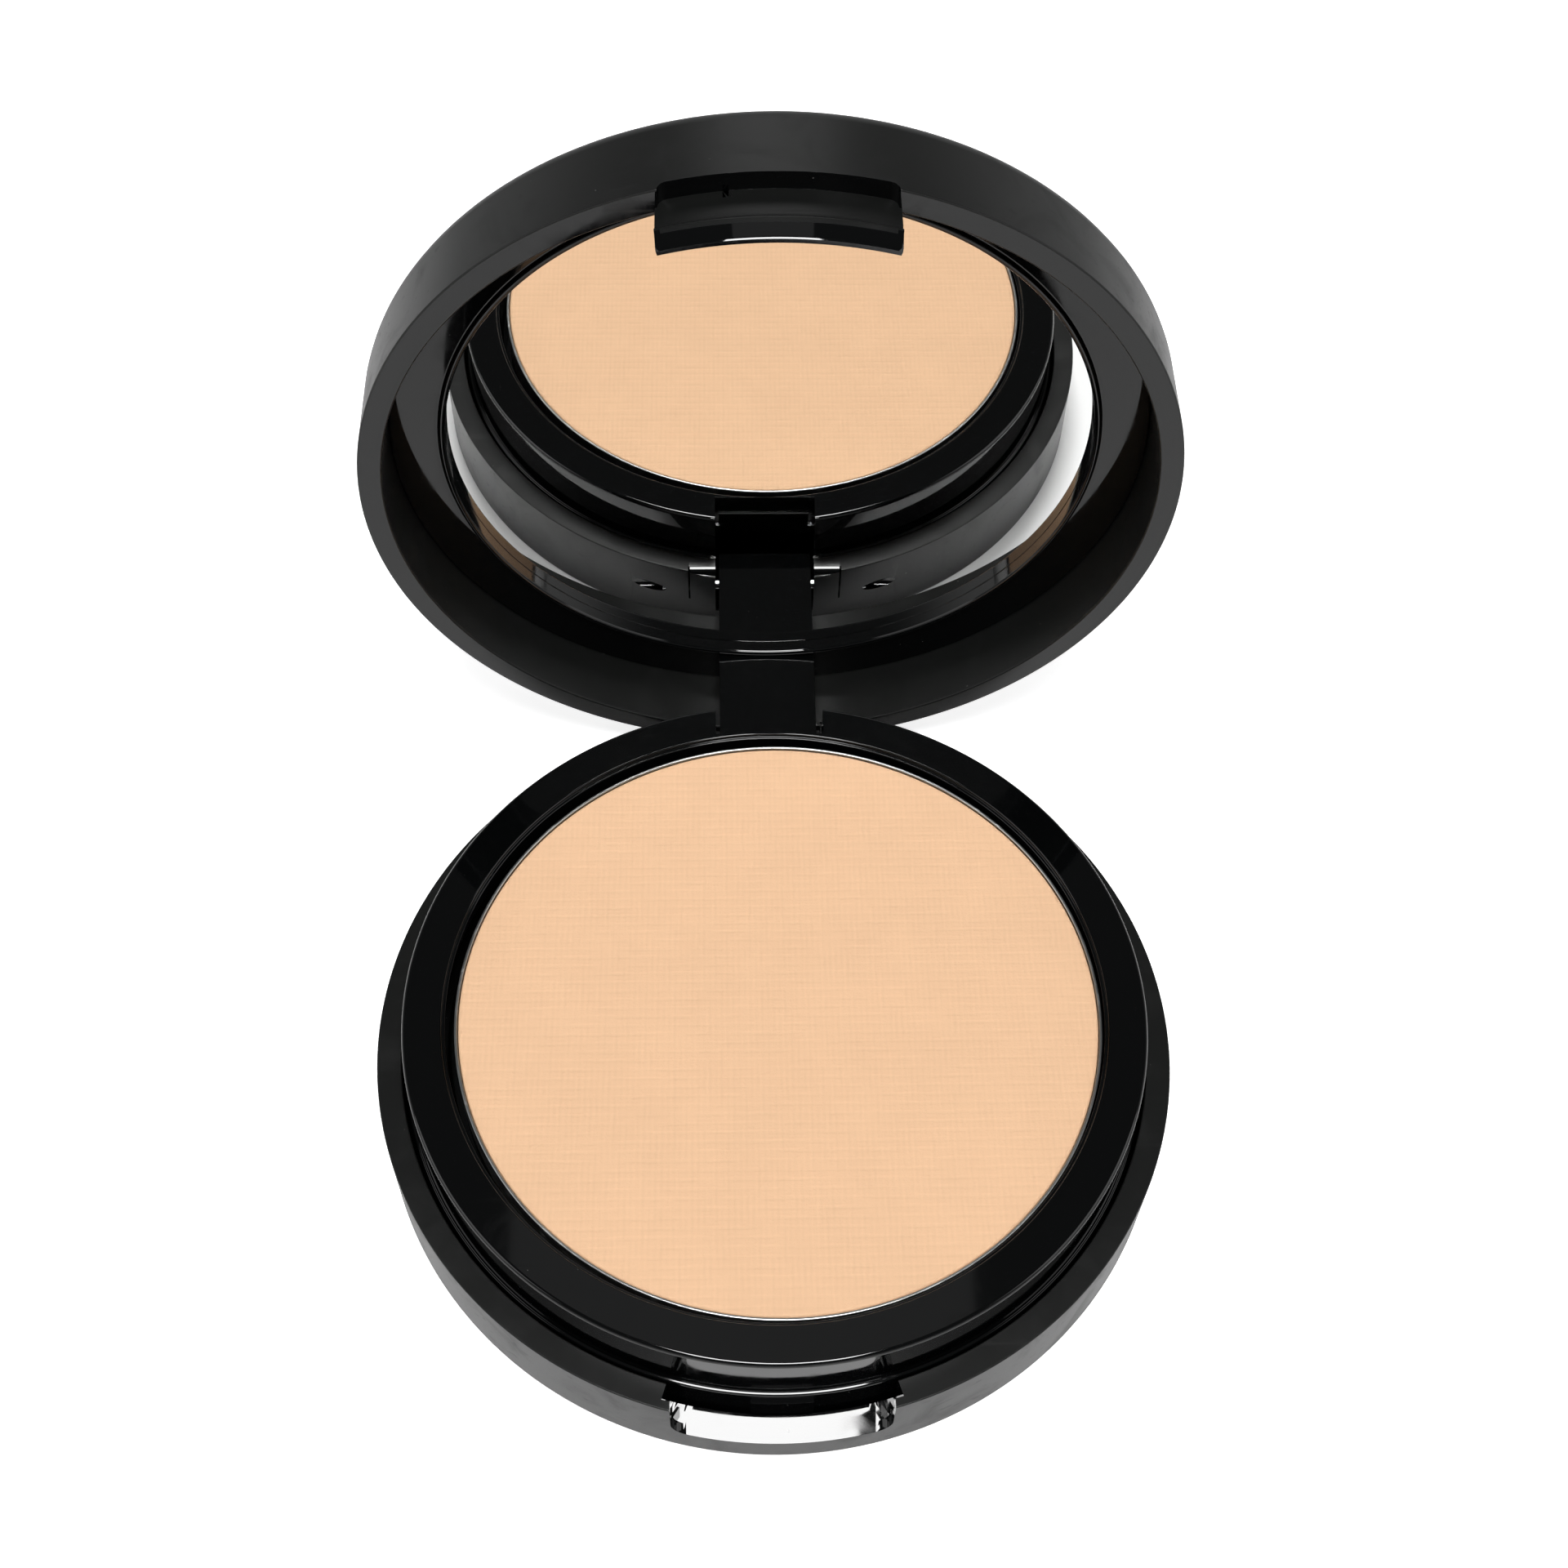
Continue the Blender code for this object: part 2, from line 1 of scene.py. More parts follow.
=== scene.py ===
"""Looks of a round powder compact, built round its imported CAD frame.

Metres, +Z up. The base stands on z = 0, the finger notch faces -Y and the hinge is at +Y.
Lid pieces are shaped shut, with the rim plane at z = 0, and then turned open about the hinge.
"""

import json
import math

import bmesh
import bpy
from mathutils import Matrix, Vector


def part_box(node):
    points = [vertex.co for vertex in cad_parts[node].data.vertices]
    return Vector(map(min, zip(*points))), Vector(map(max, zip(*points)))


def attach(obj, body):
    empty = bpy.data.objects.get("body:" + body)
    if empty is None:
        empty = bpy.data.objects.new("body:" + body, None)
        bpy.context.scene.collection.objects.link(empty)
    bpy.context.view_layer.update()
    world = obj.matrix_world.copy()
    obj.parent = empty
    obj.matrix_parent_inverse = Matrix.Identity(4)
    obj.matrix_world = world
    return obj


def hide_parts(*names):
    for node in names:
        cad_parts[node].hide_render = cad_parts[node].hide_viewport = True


bl_info = {
    "name": "Powder compact",
    "version": (1, 0, 0),
    "blender": (4, 5, 0),
    "location": "3D View > Sidebar > Compact",
    "description": "Builds the visible pieces of a round powder compact and a studio to show it in",
    "category": "Object",
}

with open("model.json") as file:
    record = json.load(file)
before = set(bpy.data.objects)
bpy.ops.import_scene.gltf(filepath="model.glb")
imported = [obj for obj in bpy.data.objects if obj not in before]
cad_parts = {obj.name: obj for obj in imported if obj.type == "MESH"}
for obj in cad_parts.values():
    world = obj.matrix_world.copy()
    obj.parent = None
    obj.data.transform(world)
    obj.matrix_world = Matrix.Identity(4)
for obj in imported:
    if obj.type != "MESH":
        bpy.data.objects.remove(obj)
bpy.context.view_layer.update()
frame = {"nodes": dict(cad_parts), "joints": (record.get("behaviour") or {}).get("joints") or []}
MM = 0.001

CASING_LOW, CASING_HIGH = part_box("base_casing")
CARRIER_LOW, CARRIER_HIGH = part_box("pan_carrier")
PAN_LOW, PAN_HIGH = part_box("powder_pan")
CAKE_LOW, CAKE_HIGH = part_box("powder_cake")
LID_LOW, LID_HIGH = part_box("lid_cover")
HINGE = frame["joints"][0]
HINGE_POINT = Vector(HINGE["pos_m"])
OPEN_ANGLE = -math.radians(HINGE["range_deg"][0])


class CompactSizes(bpy.types.PropertyGroup):
    """Sizes of the shells, the rims and the small features"""

    turn_steps: bpy.props.IntProperty(
        name="Turn steps", description="Flats in a full turn of a round piece", default=288, min=48, max=512
    )
    arc_steps: bpy.props.IntProperty(
        name="Arc steps", description="Flats in one rounded corner", default=6, min=2, max=16
    )
    base_wall: bpy.props.FloatProperty(
        name="Base wall", description="Thickness of the casing's wall", default=2.25 * MM, unit="LENGTH"
    )
    base_floor: bpy.props.FloatProperty(
        name="Base floor", description="Thickness of the casing's floor", default=1.5 * MM, unit="LENGTH"
    )
    foot_round: bpy.props.FloatProperty(
        name="Foot rounding", description="Rounding along the foot of the casing", default=0.9 * MM, unit="LENGTH"
    )
    rim_round: bpy.props.FloatProperty(
        name="Rim rounding", description="Rounding of the casing's rim", default=0.12 * MM, unit="LENGTH"
    )
    deck_radius: bpy.props.FloatProperty(
        name="Deck radius", description="Outer radius of the raised deck", default=33.9 * MM, unit="LENGTH"
    )
    well_radius: bpy.props.FloatProperty(
        name="Well radius", description="Radius of the well that the pan stands in", default=30.0 * MM, unit="LENGTH"
    )
    pan_sheet: bpy.props.FloatProperty(
        name="Pan sheet", description="Thickness of the pan's metal", default=0.3 * MM, unit="LENGTH"
    )
    lid_wall: bpy.props.FloatProperty(
        name="Lid wall", description="Thickness of the lid's rim wall", default=2.2 * MM, unit="LENGTH"
    )
    lid_edge_round: bpy.props.FloatProperty(
        name="Lid edge rounding", description="Rounding round the lid's back", default=2.2 * MM, unit="LENGTH"
    )
    lid_height: bpy.props.FloatProperty(
        name="Lid height", description="Thickness of the whole lid", default=9.35 * MM, unit="LENGTH"
    )
    lid_gap: bpy.props.FloatProperty(
        name="Lid gap", description="Gap between the rims when shut", default=0.2 * MM, unit="LENGTH"
    )
    recess_depth: bpy.props.FloatProperty(
        name="Recess depth", description="Depth of the ring round the mirror", default=6.5 * MM, unit="LENGTH"
    )
    mirror_depth: bpy.props.FloatProperty(
        name="Mirror depth", description="Depth of the mirror below the rim", default=7.45 * MM, unit="LENGTH"
    )
    mirror_thickness: bpy.props.FloatProperty(
        name="Mirror thickness", description="Thickness of the mirror", default=0.8 * MM, unit="LENGTH"
    )
    mirror_radius: bpy.props.FloatProperty(
        name="Mirror opening", description="Radius of the opening over the mirror", default=30.1 * MM, unit="LENGTH"
    )
    knuckle_width: bpy.props.FloatProperty(
        name="Knuckle width", description="Width of the lid's hinge knuckle", default=9.9 * MM, unit="LENGTH"
    )
    tab_width: bpy.props.FloatProperty(
        name="Tab width", description="Width of the catch tab", default=19.4 * MM, unit="LENGTH"
    )
    tab_reach: bpy.props.FloatProperty(
        name="Tab reach", description="How far the catch tab stands past the rim", default=4.5 * MM, unit="LENGTH"
    )
    notch_width: bpy.props.FloatProperty(
        name="Notch width", description="Width of the finger notch", default=19.0 * MM, unit="LENGTH"
    )


class CompactFinishes(bpy.types.PropertyGroup):
    """Colours and surface finishes"""

    powder_colour: bpy.props.FloatVectorProperty(
        name="Powder", description="Colour of the pressed powder", subtype="COLOR", size=3,
        default=(0.71, 0.458, 0.284), min=0, max=1,
    )
    shell_colour: bpy.props.FloatVectorProperty(
        name="Shell", description="Colour of the satin black shells", subtype="COLOR", size=3,
        default=(0.0045, 0.0048, 0.0046), min=0, max=1,
    )
    gloss_colour: bpy.props.FloatVectorProperty(
        name="Gloss", description="Colour of the polished black parts", subtype="COLOR", size=3,
        default=(0.0012, 0.0014, 0.0015), min=0, max=1,
    )
    shell_roughness: bpy.props.FloatProperty(
        name="Shell roughness", description="Roughness of the satin shells", default=0.34, min=0, max=1,
        subtype="FACTOR",
    )
    gloss_roughness: bpy.props.FloatProperty(
        name="Gloss roughness", description="Roughness of the polished parts", default=0.04, min=0, max=1,
        subtype="FACTOR",
    )


class CompactStudio(bpy.types.PropertyGroup):
    """Camera and light"""

    azimuth: bpy.props.FloatProperty(
        name="Azimuth", description="Camera direction round the object", default=math.radians(2.84),
        subtype="ANGLE",
    )
    elevation: bpy.props.FloatProperty(
        name="Elevation", description="Camera height angle", default=math.radians(55.28), subtype="ANGLE"
    )
    roll: bpy.props.FloatProperty(
        name="Roll", description="Camera roll", default=math.radians(1.94), subtype="ANGLE"
    )
    distance: bpy.props.FloatProperty(
        name="Distance", description="Camera distance from its target", default=224.5 * MM, unit="LENGTH"
    )
    target: bpy.props.FloatVectorProperty(
        name="Target", description="Point the camera looks at", default=(1.746 * MM, 33.68 * MM, 1.0 * MM), size=3,
        unit="LENGTH",
    )
    lens: bpy.props.FloatProperty(name="Lens", description="Focal length in millimetres", default=48.93)
    key_power: bpy.props.FloatProperty(name="Key", description="Power of the overhead softbox, watts", default=3.48)
    sky: bpy.props.FloatProperty(name="Sky", description="Brightness of the surroundings", default=0.6)
    floor_gloss: bpy.props.FloatProperty(
        name="Floor in reflections", description="How much brighter the floor is to a glossy surface", default=0.1
    )


def sizes():
    return bpy.context.scene.compact_sizes


def finishes():
    return bpy.context.scene.compact_finishes


# Shapes


def rounded_outline(corners, closed):
    """(radius, height, rounding) corners as points, each arc with a holding point on either side of it."""
    steps = sizes().arc_steps
    count = len(corners)
    places = [Vector((radius, 0.0, height)) for radius, height, _ in corners]
    runs = []
    for index, (_, _, rounding) in enumerate(corners):
        if rounding == 0 or (not closed and index in (0, count - 1)):
            runs.append(0.0)
            continue
        back = places[index - 1] - places[index]
        ahead = places[(index + 1) % count] - places[index]
        runs.append(rounding / math.tan(back.angle(ahead) / 2))
    points = []
    for index, corner in enumerate(places):
        rounding = corners[index][2]
        if runs[index] == 0:
            points.append(corner)
            continue
        after_index = (index + 1) % count
        back = places[index - 1] - corner
        ahead = places[after_index] - corner
        room_back = back.length - runs[index] - runs[index - 1]
        room_ahead = ahead.length - runs[index] - runs[after_index]
        back.normalize()
        ahead.normalize()
        half = back.angle(ahead) / 2
        start = corner + back * runs[index]
        finish = corner + ahead * runs[index]
        centre = corner + (back + ahead).normalized() * rounding / math.sin(half)
        side = 1.0 if back.cross(ahead).y > 0 else -1.0
        points.append(start + back * min(rounding, room_back) / 4)
        for step in range(steps + 1):
            turn = Matrix.Rotation(-side * (math.pi - 2 * half) * step / steps, 3, "Y")
            points.append(centre + turn @ (start - centre))
        points.append(finish + ahead * min(rounding, room_ahead) / 4)
    return points


def turned(corners, closed=False):
    """A bmesh of the outline turned about Z. A closed outline is a ring; an open one meets the axis."""
    work = bmesh.new()
    verts = [work.verts.new(point) for point in rounded_outline(corners, closed)]
    edges = [work.edges.new(pair) for pair in zip(verts, verts[1:])]
    if closed:
        edges.append(work.edges.new((verts[-1], verts[0])))
    bmesh.ops.spin(
        work, geom=[*verts, *edges], cent=(0, 0, 0), axis=(0, 0, 1), angle=2 * math.pi,
        steps=sizes().turn_steps, use_merge=True,
    )
    bmesh.ops.remove_doubles(work, verts=work.verts, dist=MM / 5000)
    bmesh.ops.recalc_face_normals(work, faces=work.faces)
    return work


def block(low, high):
    work = bmesh.new()
    bmesh.ops.create_cube(work, size=1.0)
    size = Vector(high) - Vector(low)
    middle = (Vector(high) + Vector(low)) / 2
    work.transform(Matrix.Translation(middle) @ Matrix.Diagonal((*size, 1.0)))
    return work


def rod(radius, start, end, segments=48):
    work = bmesh.new()
    start = Vector(start)
    end = Vector(end)
    bmesh.ops.create_cone(
        work, cap_ends=True, segments=segments, radius1=radius, radius2=radius, depth=(end - start).length
    )
    turn = Vector((0, 0, 1)).rotation_difference(end - start).to_matrix().to_4x4()
    work.transform(Matrix.Translation((start + end) / 2) @ turn)
    return work


def sector(outline, half_width, at_radius, steps=40):
    """An outline of (radius, height) swept about Z, as far to each side of -Y as half_width at a radius."""
    reach = math.asin(half_width / at_radius)
    work = bmesh.new()
    verts = [work.verts.new((radius, 0.0, height)) for radius, height in outline]
    face = work.faces.new(verts)
    turn = Matrix.Rotation(-math.pi / 2 - reach, 3, "Z")
    bmesh.ops.rotate(work, cent=(0, 0, 0), matrix=turn, verts=verts)
    bmesh.ops.spin(
        work, geom=[face, *face.edges, *face.verts], cent=(0, 0, 0), axis=(0, 0, 1), angle=2 * reach,
        steps=steps,
    )
    bmesh.ops.recalc_face_normals(work, faces=work.faces)
    return work


def rounded_edges(work, edges, rounding, segments=6):
    bmesh.ops.bevel(
        work, geom=edges, offset=rounding, segments=segments, affect="EDGES", profile=0.5, material=-1,
        clamp_overlap=True,
    )


def trough(half_width, inner, outer, floor, top, corner, fall=0.0, level_at=0.0, upward=False):
    """A scoop across the wall at -Y, its floor falling outwards and its two floor corners rounded."""
    work = block((-half_width, -outer, min(floor, top)), (half_width, -inner, max(floor, top)))
    floor_edges = [
        e for e in work.edges
        if all(abs(v.co.z - floor) < 1e-7 for v in e.verts) and abs(e.verts[0].co.x - e.verts[1].co.x) < 1e-7
    ]
    rounded_edges(work, floor_edges, corner, 8)
    cuts = 24
    for step in range(1, cuts):
        place = -half_width + corner + (2 * half_width - 2 * corner) * step / cuts
        bmesh.ops.bisect_plane(
            work, geom=[*work.verts, *work.edges, *work.faces], plane_co=(place, 0, 0), plane_no=(1, 0, 0)
        )
    for vert in work.verts:
        if abs(vert.co.z - top) > 1e-7:
            vert.co.z -= fall * (vert.co.xy.length - level_at)
    return work


def piece_from(work, name):
    """A linked mesh object made from a bmesh, which is then freed."""
    mesh = bpy.data.meshes.new(name)
    work.to_mesh(mesh)
    work.free()
    obj = bpy.data.objects.new(name, mesh)
    bpy.context.scene.collection.objects.link(obj)
    return obj


def carve(obj, work, operation="DIFFERENCE"):
    """Cuts a bmesh from a piece, or joins it on, and keeps the result as the piece's own mesh."""
    tool = piece_from(work, obj.name + "_tool")
    modifier = obj.modifiers.new("Carve", "BOOLEAN")
    modifier.operation = operation
    modifier.object = tool
    modifier.solver = "EXACT"
    graph = bpy.context.evaluated_depsgraph_get()
    result = bpy.data.meshes.new_from_object(obj.evaluated_get(graph))
    obj.modifiers.clear()
    before = obj.data
    obj.data = result
    bpy.data.meshes.remove(before)
    bpy.data.objects.remove(tool)


def soften(obj, width, angle=40, segments=3):
    """Breaks the crisp edges that cutting leaves, as moulded plastic has none."""
    work = bmesh.new()
    work.from_mesh(obj.data)
    bmesh.ops.remove_doubles(work, verts=work.verts, dist=MM / 200)
    bmesh.ops.dissolve_degenerate(work, edges=work.edges, dist=MM / 200)
    # Flat faces are made whole first, so that no bevel has to pass an edge that lies in one.
    bmesh.ops.dissolve_limit(
        work, angle_limit=math.radians(0.2), verts=work.verts, edges=work.edges, use_dissolve_boundaries=False
    )
    limit = math.radians(angle)
    crisp = [e for e in work.edges if len(e.link_faces) == 2 and e.calc_face_angle() > limit]
    if crisp:
        rounded_edges(work, crisp, width, segments)
    work.to_mesh(obj.data)
    work.free()


def smooth(obj, angle=35):
    """Shades a piece smoothly, with each large face kept flat up to the rounding beside it."""
    obj.data.shade_smooth()
    obj.data.set_sharp_from_angle(angle=math.radians(angle))
    weighted = obj.modifiers.new("Weighted normals", "WEIGHTED_NORMAL")
    weighted.keep_sharp = True


def lid_place():
    """From the shut lid's own frame, rim plane at z = 0 and axis on Z, to where the open lid stands."""
    rise = CASING_HIGH.z + sizes().lid_gap - HINGE_POINT.z
    to_hinge = Matrix.Translation((0, -HINGE_POINT.y, rise))
    opened = Matrix.Rotation(-OPEN_ANGLE, 4, "X")
    return Matrix.Translation(HINGE_POINT) @ opened @ to_hinge


def put_on(obj, body, slot, material, *nodes):
    """Gives a finished piece its material, its body and the CAD nodes that it stands for."""
    obj.data.materials.clear()
    obj.data.materials.append(material)
    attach(obj, body)
    if nodes:
        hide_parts(*nodes)


def polish(obj, material, inside):
    """Gives a second material to the faces whose centre passes a test."""
    obj.data.materials.append(material)
    for face in obj.data.polygons:
        if inside(face.center):
            face.material_index = len(obj.data.materials) - 1


def add_to_lid(obj):
    obj.data.transform(lid_place())


# Materials


def new_group(name, inputs, outputs):
    group = bpy.data.node_groups.new(name, "ShaderNodeTree")
    for label, kind, default in inputs:
        socket = group.interface.new_socket(name=label, in_out="INPUT", socket_type=kind)
        socket.default_value = default
    for label, kind in outputs:
        group.interface.new_socket(name=label, in_out="OUTPUT", socket_type=kind)
    start = group.nodes.new("NodeGroupInput")
    end = group.nodes.new("NodeGroupOutput")
    start.location = (-900, 0)
    end.location = (600, 0)
    return group, start, end


def math_node(tree, operation, first, second=None, clamp=False):
    node = tree.nodes.new("ShaderNodeMath")
    node.operation = operation
    node.use_clamp = clamp
    for index, value in enumerate((first, second)):
        if value is None:
            continue
        if isinstance(value, (int, float)):
            node.inputs[index].default_value = value
        else:
            tree.links.new(value, node.inputs[index])
    return node.outputs[0]


def span(tree, value, low, high, to_low=0.0, to_high=1.0):
    node = tree.nodes.new("ShaderNodeMapRange")
    node.interpolation_type = "SMOOTHSTEP"
    tree.links.new(value, node.inputs["Value"])
    node.inputs["From Min"].default_value = low
    node.inputs["From Max"].default_value = high
    node.inputs["To Min"].default_value = to_low
    node.inputs["To Max"].default_value = to_high
    return node.outputs[0]


def noise(tree, vector, scale, detail=3.0, roughness=0.55, distortion=0.0):
    node = tree.nodes.new("ShaderNodeTexNoise")
    node.inputs["Detail"].default_value = detail
    node.inputs["Roughness"].default_value = roughness
    node.inputs["Distortion"].default_value = distortion
    tree.links.new(vector, node.inputs["Vector"])
    if isinstance(scale, (int, float)):
        node.inputs["Scale"].default_value = scale
    else:
        tree.links.new(scale, node.inputs["Scale"])
    return node.outputs["Fac"]


def handling_group():
    """Finger smudges, hairline scratches and dust that a handled plastic part picks up."""
    group, start, end = new_group(
        "Handling marks",
        [
            ("Vector", "NodeSocketVector", (0, 0, 0)),
            ("Smudge size", "NodeSocketFloat", 120.0),
            ("Smudge", "NodeSocketFloat", 0.5),
            ("Scratches", "NodeSocketFloat", 0.3),
            ("Dust", "NodeSocketFloat", 0.3),
        ],
        [("Roughness", "NodeSocketFloat"), ("Dust", "NodeSocketFloat"), ("Height", "NodeSocketFloat")],
    )
    vector = start.outputs["Vector"]
    blotch = span(group, noise(group, vector, start.outputs["Smudge size"], 4.0, 0.6, 0.8), 0.45, 0.75)
    streak_map = group.nodes.new("ShaderNodeMapping")
    streak_map.inputs["Rotation"].default_value = (0.3, 0.5, 0.7)
    streak_map.inputs["Scale"].default_value = (60.0, 1500.0, 1500.0)
    group.links.new(vector, streak_map.inputs["Vector"])
    hairline = span(group, noise(group, streak_map.outputs[0], 1.0, 1.0, 0.4), 0.66, 0.76)
    speck_noise = noise(group, vector, 2600.0, 1.0, 0.5)
    speck_patch = span(group, noise(group, vector, 90.0, 2.0), 0.45, 0.7)
    speck = math_node(group, "MULTIPLY", span(group, speck_noise, 0.8, 0.83), speck_patch)
    smudge = math_node(group, "MULTIPLY", blotch, start.outputs["Smudge"])
    scratch = math_node(group, "MULTIPLY", hairline, start.outputs["Scratches"])
    dust = math_node(group, "MULTIPLY", speck, start.outputs["Dust"])
    total = math_node(group, "ADD", smudge, scratch)
    group.links.new(total, end.inputs["Roughness"])
    group.links.new(dust, end.inputs["Dust"])
    height = math_node(group, "SUBTRACT", dust, math_node(group, "MULTIPLY", scratch, 0.3))
    group.links.new(height, end.inputs["Height"])
    return group


def grain_group():
    """The fine spark-eroded grain of a satin mould."""
    group, start, end = new_group(
        "Mould grain",
        [("Vector", "NodeSocketVector", (0, 0, 0)), ("Size", "NodeSocketFloat", 9000.0)],
        [("Height", "NodeSocketFloat"), ("Tone", "NodeSocketFloat")],
    )
    fine = noise(group, start.outputs["Vector"], start.outputs["Size"], 2.0, 0.6)
    broad = noise(group, start.outputs["Vector"], 60.0, 3.0, 0.5)
    group.links.new(fine, end.inputs["Height"])
    group.links.new(broad, end.inputs["Tone"])
    return group


def weave_group():
    """Cloth pressed into powder: threads of one pitch along X and another along Y, some thicker than others. Its
    Tone output is painted shade of the threads, lighter where they stand up and darker between them.
    """
    group, start, end = new_group(
        "Cloth emboss",
        [
            ("Vector", "NodeSocketVector", (0, 0, 0)),
            ("Pitch X", "NodeSocketFloat", 0.53 * MM),
            ("Pitch Y", "NodeSocketFloat", 0.446 * MM),
            ("Unevenness", "NodeSocketFloat", 0.7),
        ],
        [("Height", "NodeSocketFloat"), ("Tone", "NodeSocketFloat")],
    )
    wander = group.nodes.new("ShaderNodeTexNoise")
    wander.inputs["Scale"].default_value = 500.0
    wander.inputs["Detail"].default_value = 2.0
    group.links.new(start.outputs["Vector"], wander.inputs["Vector"])
    centred = group.nodes.new("ShaderNodeVectorMath")
    centred.operation = "SUBTRACT"
    centred.inputs[1].default_value = (0.5, 0.5, 0.5)
    group.links.new(wander.outputs["Color"], centred.inputs[0])
    shifted = group.nodes.new("ShaderNodeVectorMath")
    shifted.operation = "MULTIPLY_ADD"
    shifted.inputs[1].default_value = (0.25 * MM, 0.2 * MM, 0.0)
    group.links.new(centred.outputs[0], shifted.inputs[0])
    group.links.new(start.outputs["Vector"], shifted.inputs[2])
    parts = group.nodes.new("ShaderNodeSeparateXYZ")
    group.links.new(shifted.outputs[0], parts.inputs[0])
    waves = []
    for axis, pitch in (("X", "Pitch X"), ("Y", "Pitch Y")):
        turns = math_node(group, "DIVIDE", parts.outputs[axis], start.outputs[pitch])
        wave = math_node(group, "SINE", math_node(group, "MULTIPLY", turns, 2 * math.pi))
        stretch = group.nodes.new("ShaderNodeMapping")
        along = (1900.0, 330.0, 1.0) if axis == "X" else (300.0, 2300.0, 1.0)
        stretch.inputs["Scale"].default_value = along
        group.links.new(start.outputs["Vector"], stretch.inputs["Vector"])
        strength = span(group, noise(group, stretch.outputs[0], 1.0, 2.0), 0.3, 0.75)
        waves.append((wave, strength))
    half = math_node(group, "MULTIPLY", start.outputs["Pitch Y"], 2.0)
    slow = math_node(group, "DIVIDE", parts.outputs["Y"], half)
    pair = math_node(group, "SINE", math_node(group, "MULTIPLY", slow, 2 * math.pi))
    across = math_node(group, "MULTIPLY", waves[0][0], waves[0][1])
    along = math_node(group, "MULTIPLY", waves[1][0], waves[1][1])
    rib = math_node(group, "MULTIPLY", pair, waves[1][1])
    rough = noise(group, start.outputs["Vector"], 4200.0, 3.0, 0.6)
    uneven = math_node(group, "MULTIPLY", math_node(group, "SUBTRACT", rough, 0.5), start.outputs["Unevenness"])
    ribs = math_node(group, "ADD", math_node(group, "MULTIPLY", along, 0.5), rib)
    threads = math_node(group, "ADD", math_node(group, "MULTIPLY", across, 0.8), ribs)
    height = math_node(group, "ADD", math_node(group, "MULTIPLY", threads, 0.25), uneven)
    # Painted shade of the emboss: the colour rises with the threads' height, lighter on the raised threads and
    # darker between them.
    tone_with_painted_thread_shade = math_node(group, "ADD", math_node(group, "MULTIPLY", threads, 0.12), 0.5)
    group.links.new(height, end.inputs["Height"])
    group.links.new(tone_with_painted_thread_shade, end.inputs["Tone"])
    return group


def new_material(name, colour, roughness, metallic=0.0):
    """A node material with its shader and Object coordinates ready."""
    material = bpy.data.materials.new("compact_" + name)
    material.use_nodes = True
    tree = material.node_tree
    shader = tree.nodes["Principled BSDF"]
    shader.inputs["Base Color"].default_value = (*colour, 1.0)
    shader.inputs["Roughness"].default_value = roughness
    shader.inputs["Metallic"].default_value = metallic
    material.diffuse_color = (*colour, 1.0)
    where = tree.nodes.new("ShaderNodeTexCoord").outputs["Object"]
    return material, tree, shader, where


def place_group(tree, group, where, **values):
    node = tree.nodes.new("ShaderNodeGroup")
    node.node_tree = group
    tree.links.new(where, node.inputs["Vector"])
    for label, value in values.items():
        node.inputs[label.replace("_", " ")].default_value = value
    return node


def bumped(tree, shader, height, distance, strength=1.0):
    bump = tree.nodes.new("ShaderNodeBump")
    bump.inputs["Distance"].default_value = distance
    bump.inputs["Strength"].default_value = strength
    tree.links.new(height, bump.inputs["Height"])
    tree.links.new(bump.outputs["Normal"], shader.inputs["Normal"])


def toned(tree, shader, factor, low, high):
    mix = tree.nodes.new("ShaderNodeMix")
    mix.data_type = "RGBA"
    mix.inputs["A"].default_value = (*low, 1.0)
    mix.inputs["B"].default_value = (*high, 1.0)
    tree.links.new(factor, mix.inputs["Factor"])
    tree.links.new(mix.outputs["Result"], shader.inputs["Base Color"])


def scaled(colour, factor):
    return tuple(min(1.0, channel * factor) for channel in colour)


def satin_black():
    look = finishes()
    material, tree, shader, where = new_material("satin_black", look.shell_colour, look.shell_roughness)
    shader.inputs["Specular IOR Level"].default_value = 0.3
    marks = place_group(tree, handling_group_once(), where, Smudge_size=150.0, Smudge=0.10, Scratches=0.06, Dust=0.5)
    grain = place_group(tree, grain_group_once(), where, Size=9000.0)
    rough = math_node(tree, "ADD", marks.outputs["Roughness"], look.shell_roughness)
    tree.links.new(rough, shader.inputs["Roughness"])
    toned(tree, shader, marks.outputs["Dust"], tuple(look.shell_colour), (0.25, 0.25, 0.24))
    bumped(tree, shader, grain.outputs["Height"], 0.004 * MM)
    return material


def gloss_black():
    look = finishes()
    material, tree, shader, where = new_material("gloss_black", look.gloss_colour, look.gloss_roughness)
    shader.inputs["Specular IOR Level"].default_value = 0.45
    marks = place_group(tree, handling_group_once(), where, Smudge_size=260.0, Smudge=0.06, Scratches=0.03, Dust=0.4)
    rough = math_node(tree, "ADD", marks.outputs["Roughness"], look.gloss_roughness)
    tree.links.new(rough, shader.inputs["Roughness"])
    toned(tree, shader, marks.outputs["Dust"], tuple(look.gloss_colour), (0.22, 0.22, 0.21))
    bumped(tree, shader, marks.outputs["Height"], 0.004 * MM)
    return material


def pressed_powder():
    look = finishes()
    colour = tuple(look.powder_colour)
    material, tree, shader, where = new_material("pressed_powder", colour, 0.95)
    cloth = place_group(tree, weave_group(), where, Unevenness=0.7)
    mottle = noise(tree, where, 180.0, 4.0, 0.6)
    patch = span(tree, mottle, 0.3, 0.7, -0.06, 0.06)
    # Painted shade of the cloth threads, plus random mottle in the powder's tone.
    tone_with_painted_thread_shade = math_node(tree, "ADD", cloth.outputs["Tone"], patch)
    toned(tree, shader, tone_with_painted_thread_shade, scaled(colour, 0.87), scaled(colour, 1.13))
    shader.inputs["Specular IOR Level"].default_value = 0.15
    bumped(tree, shader, cloth.outputs["Height"], 0.07 * MM)
    return material


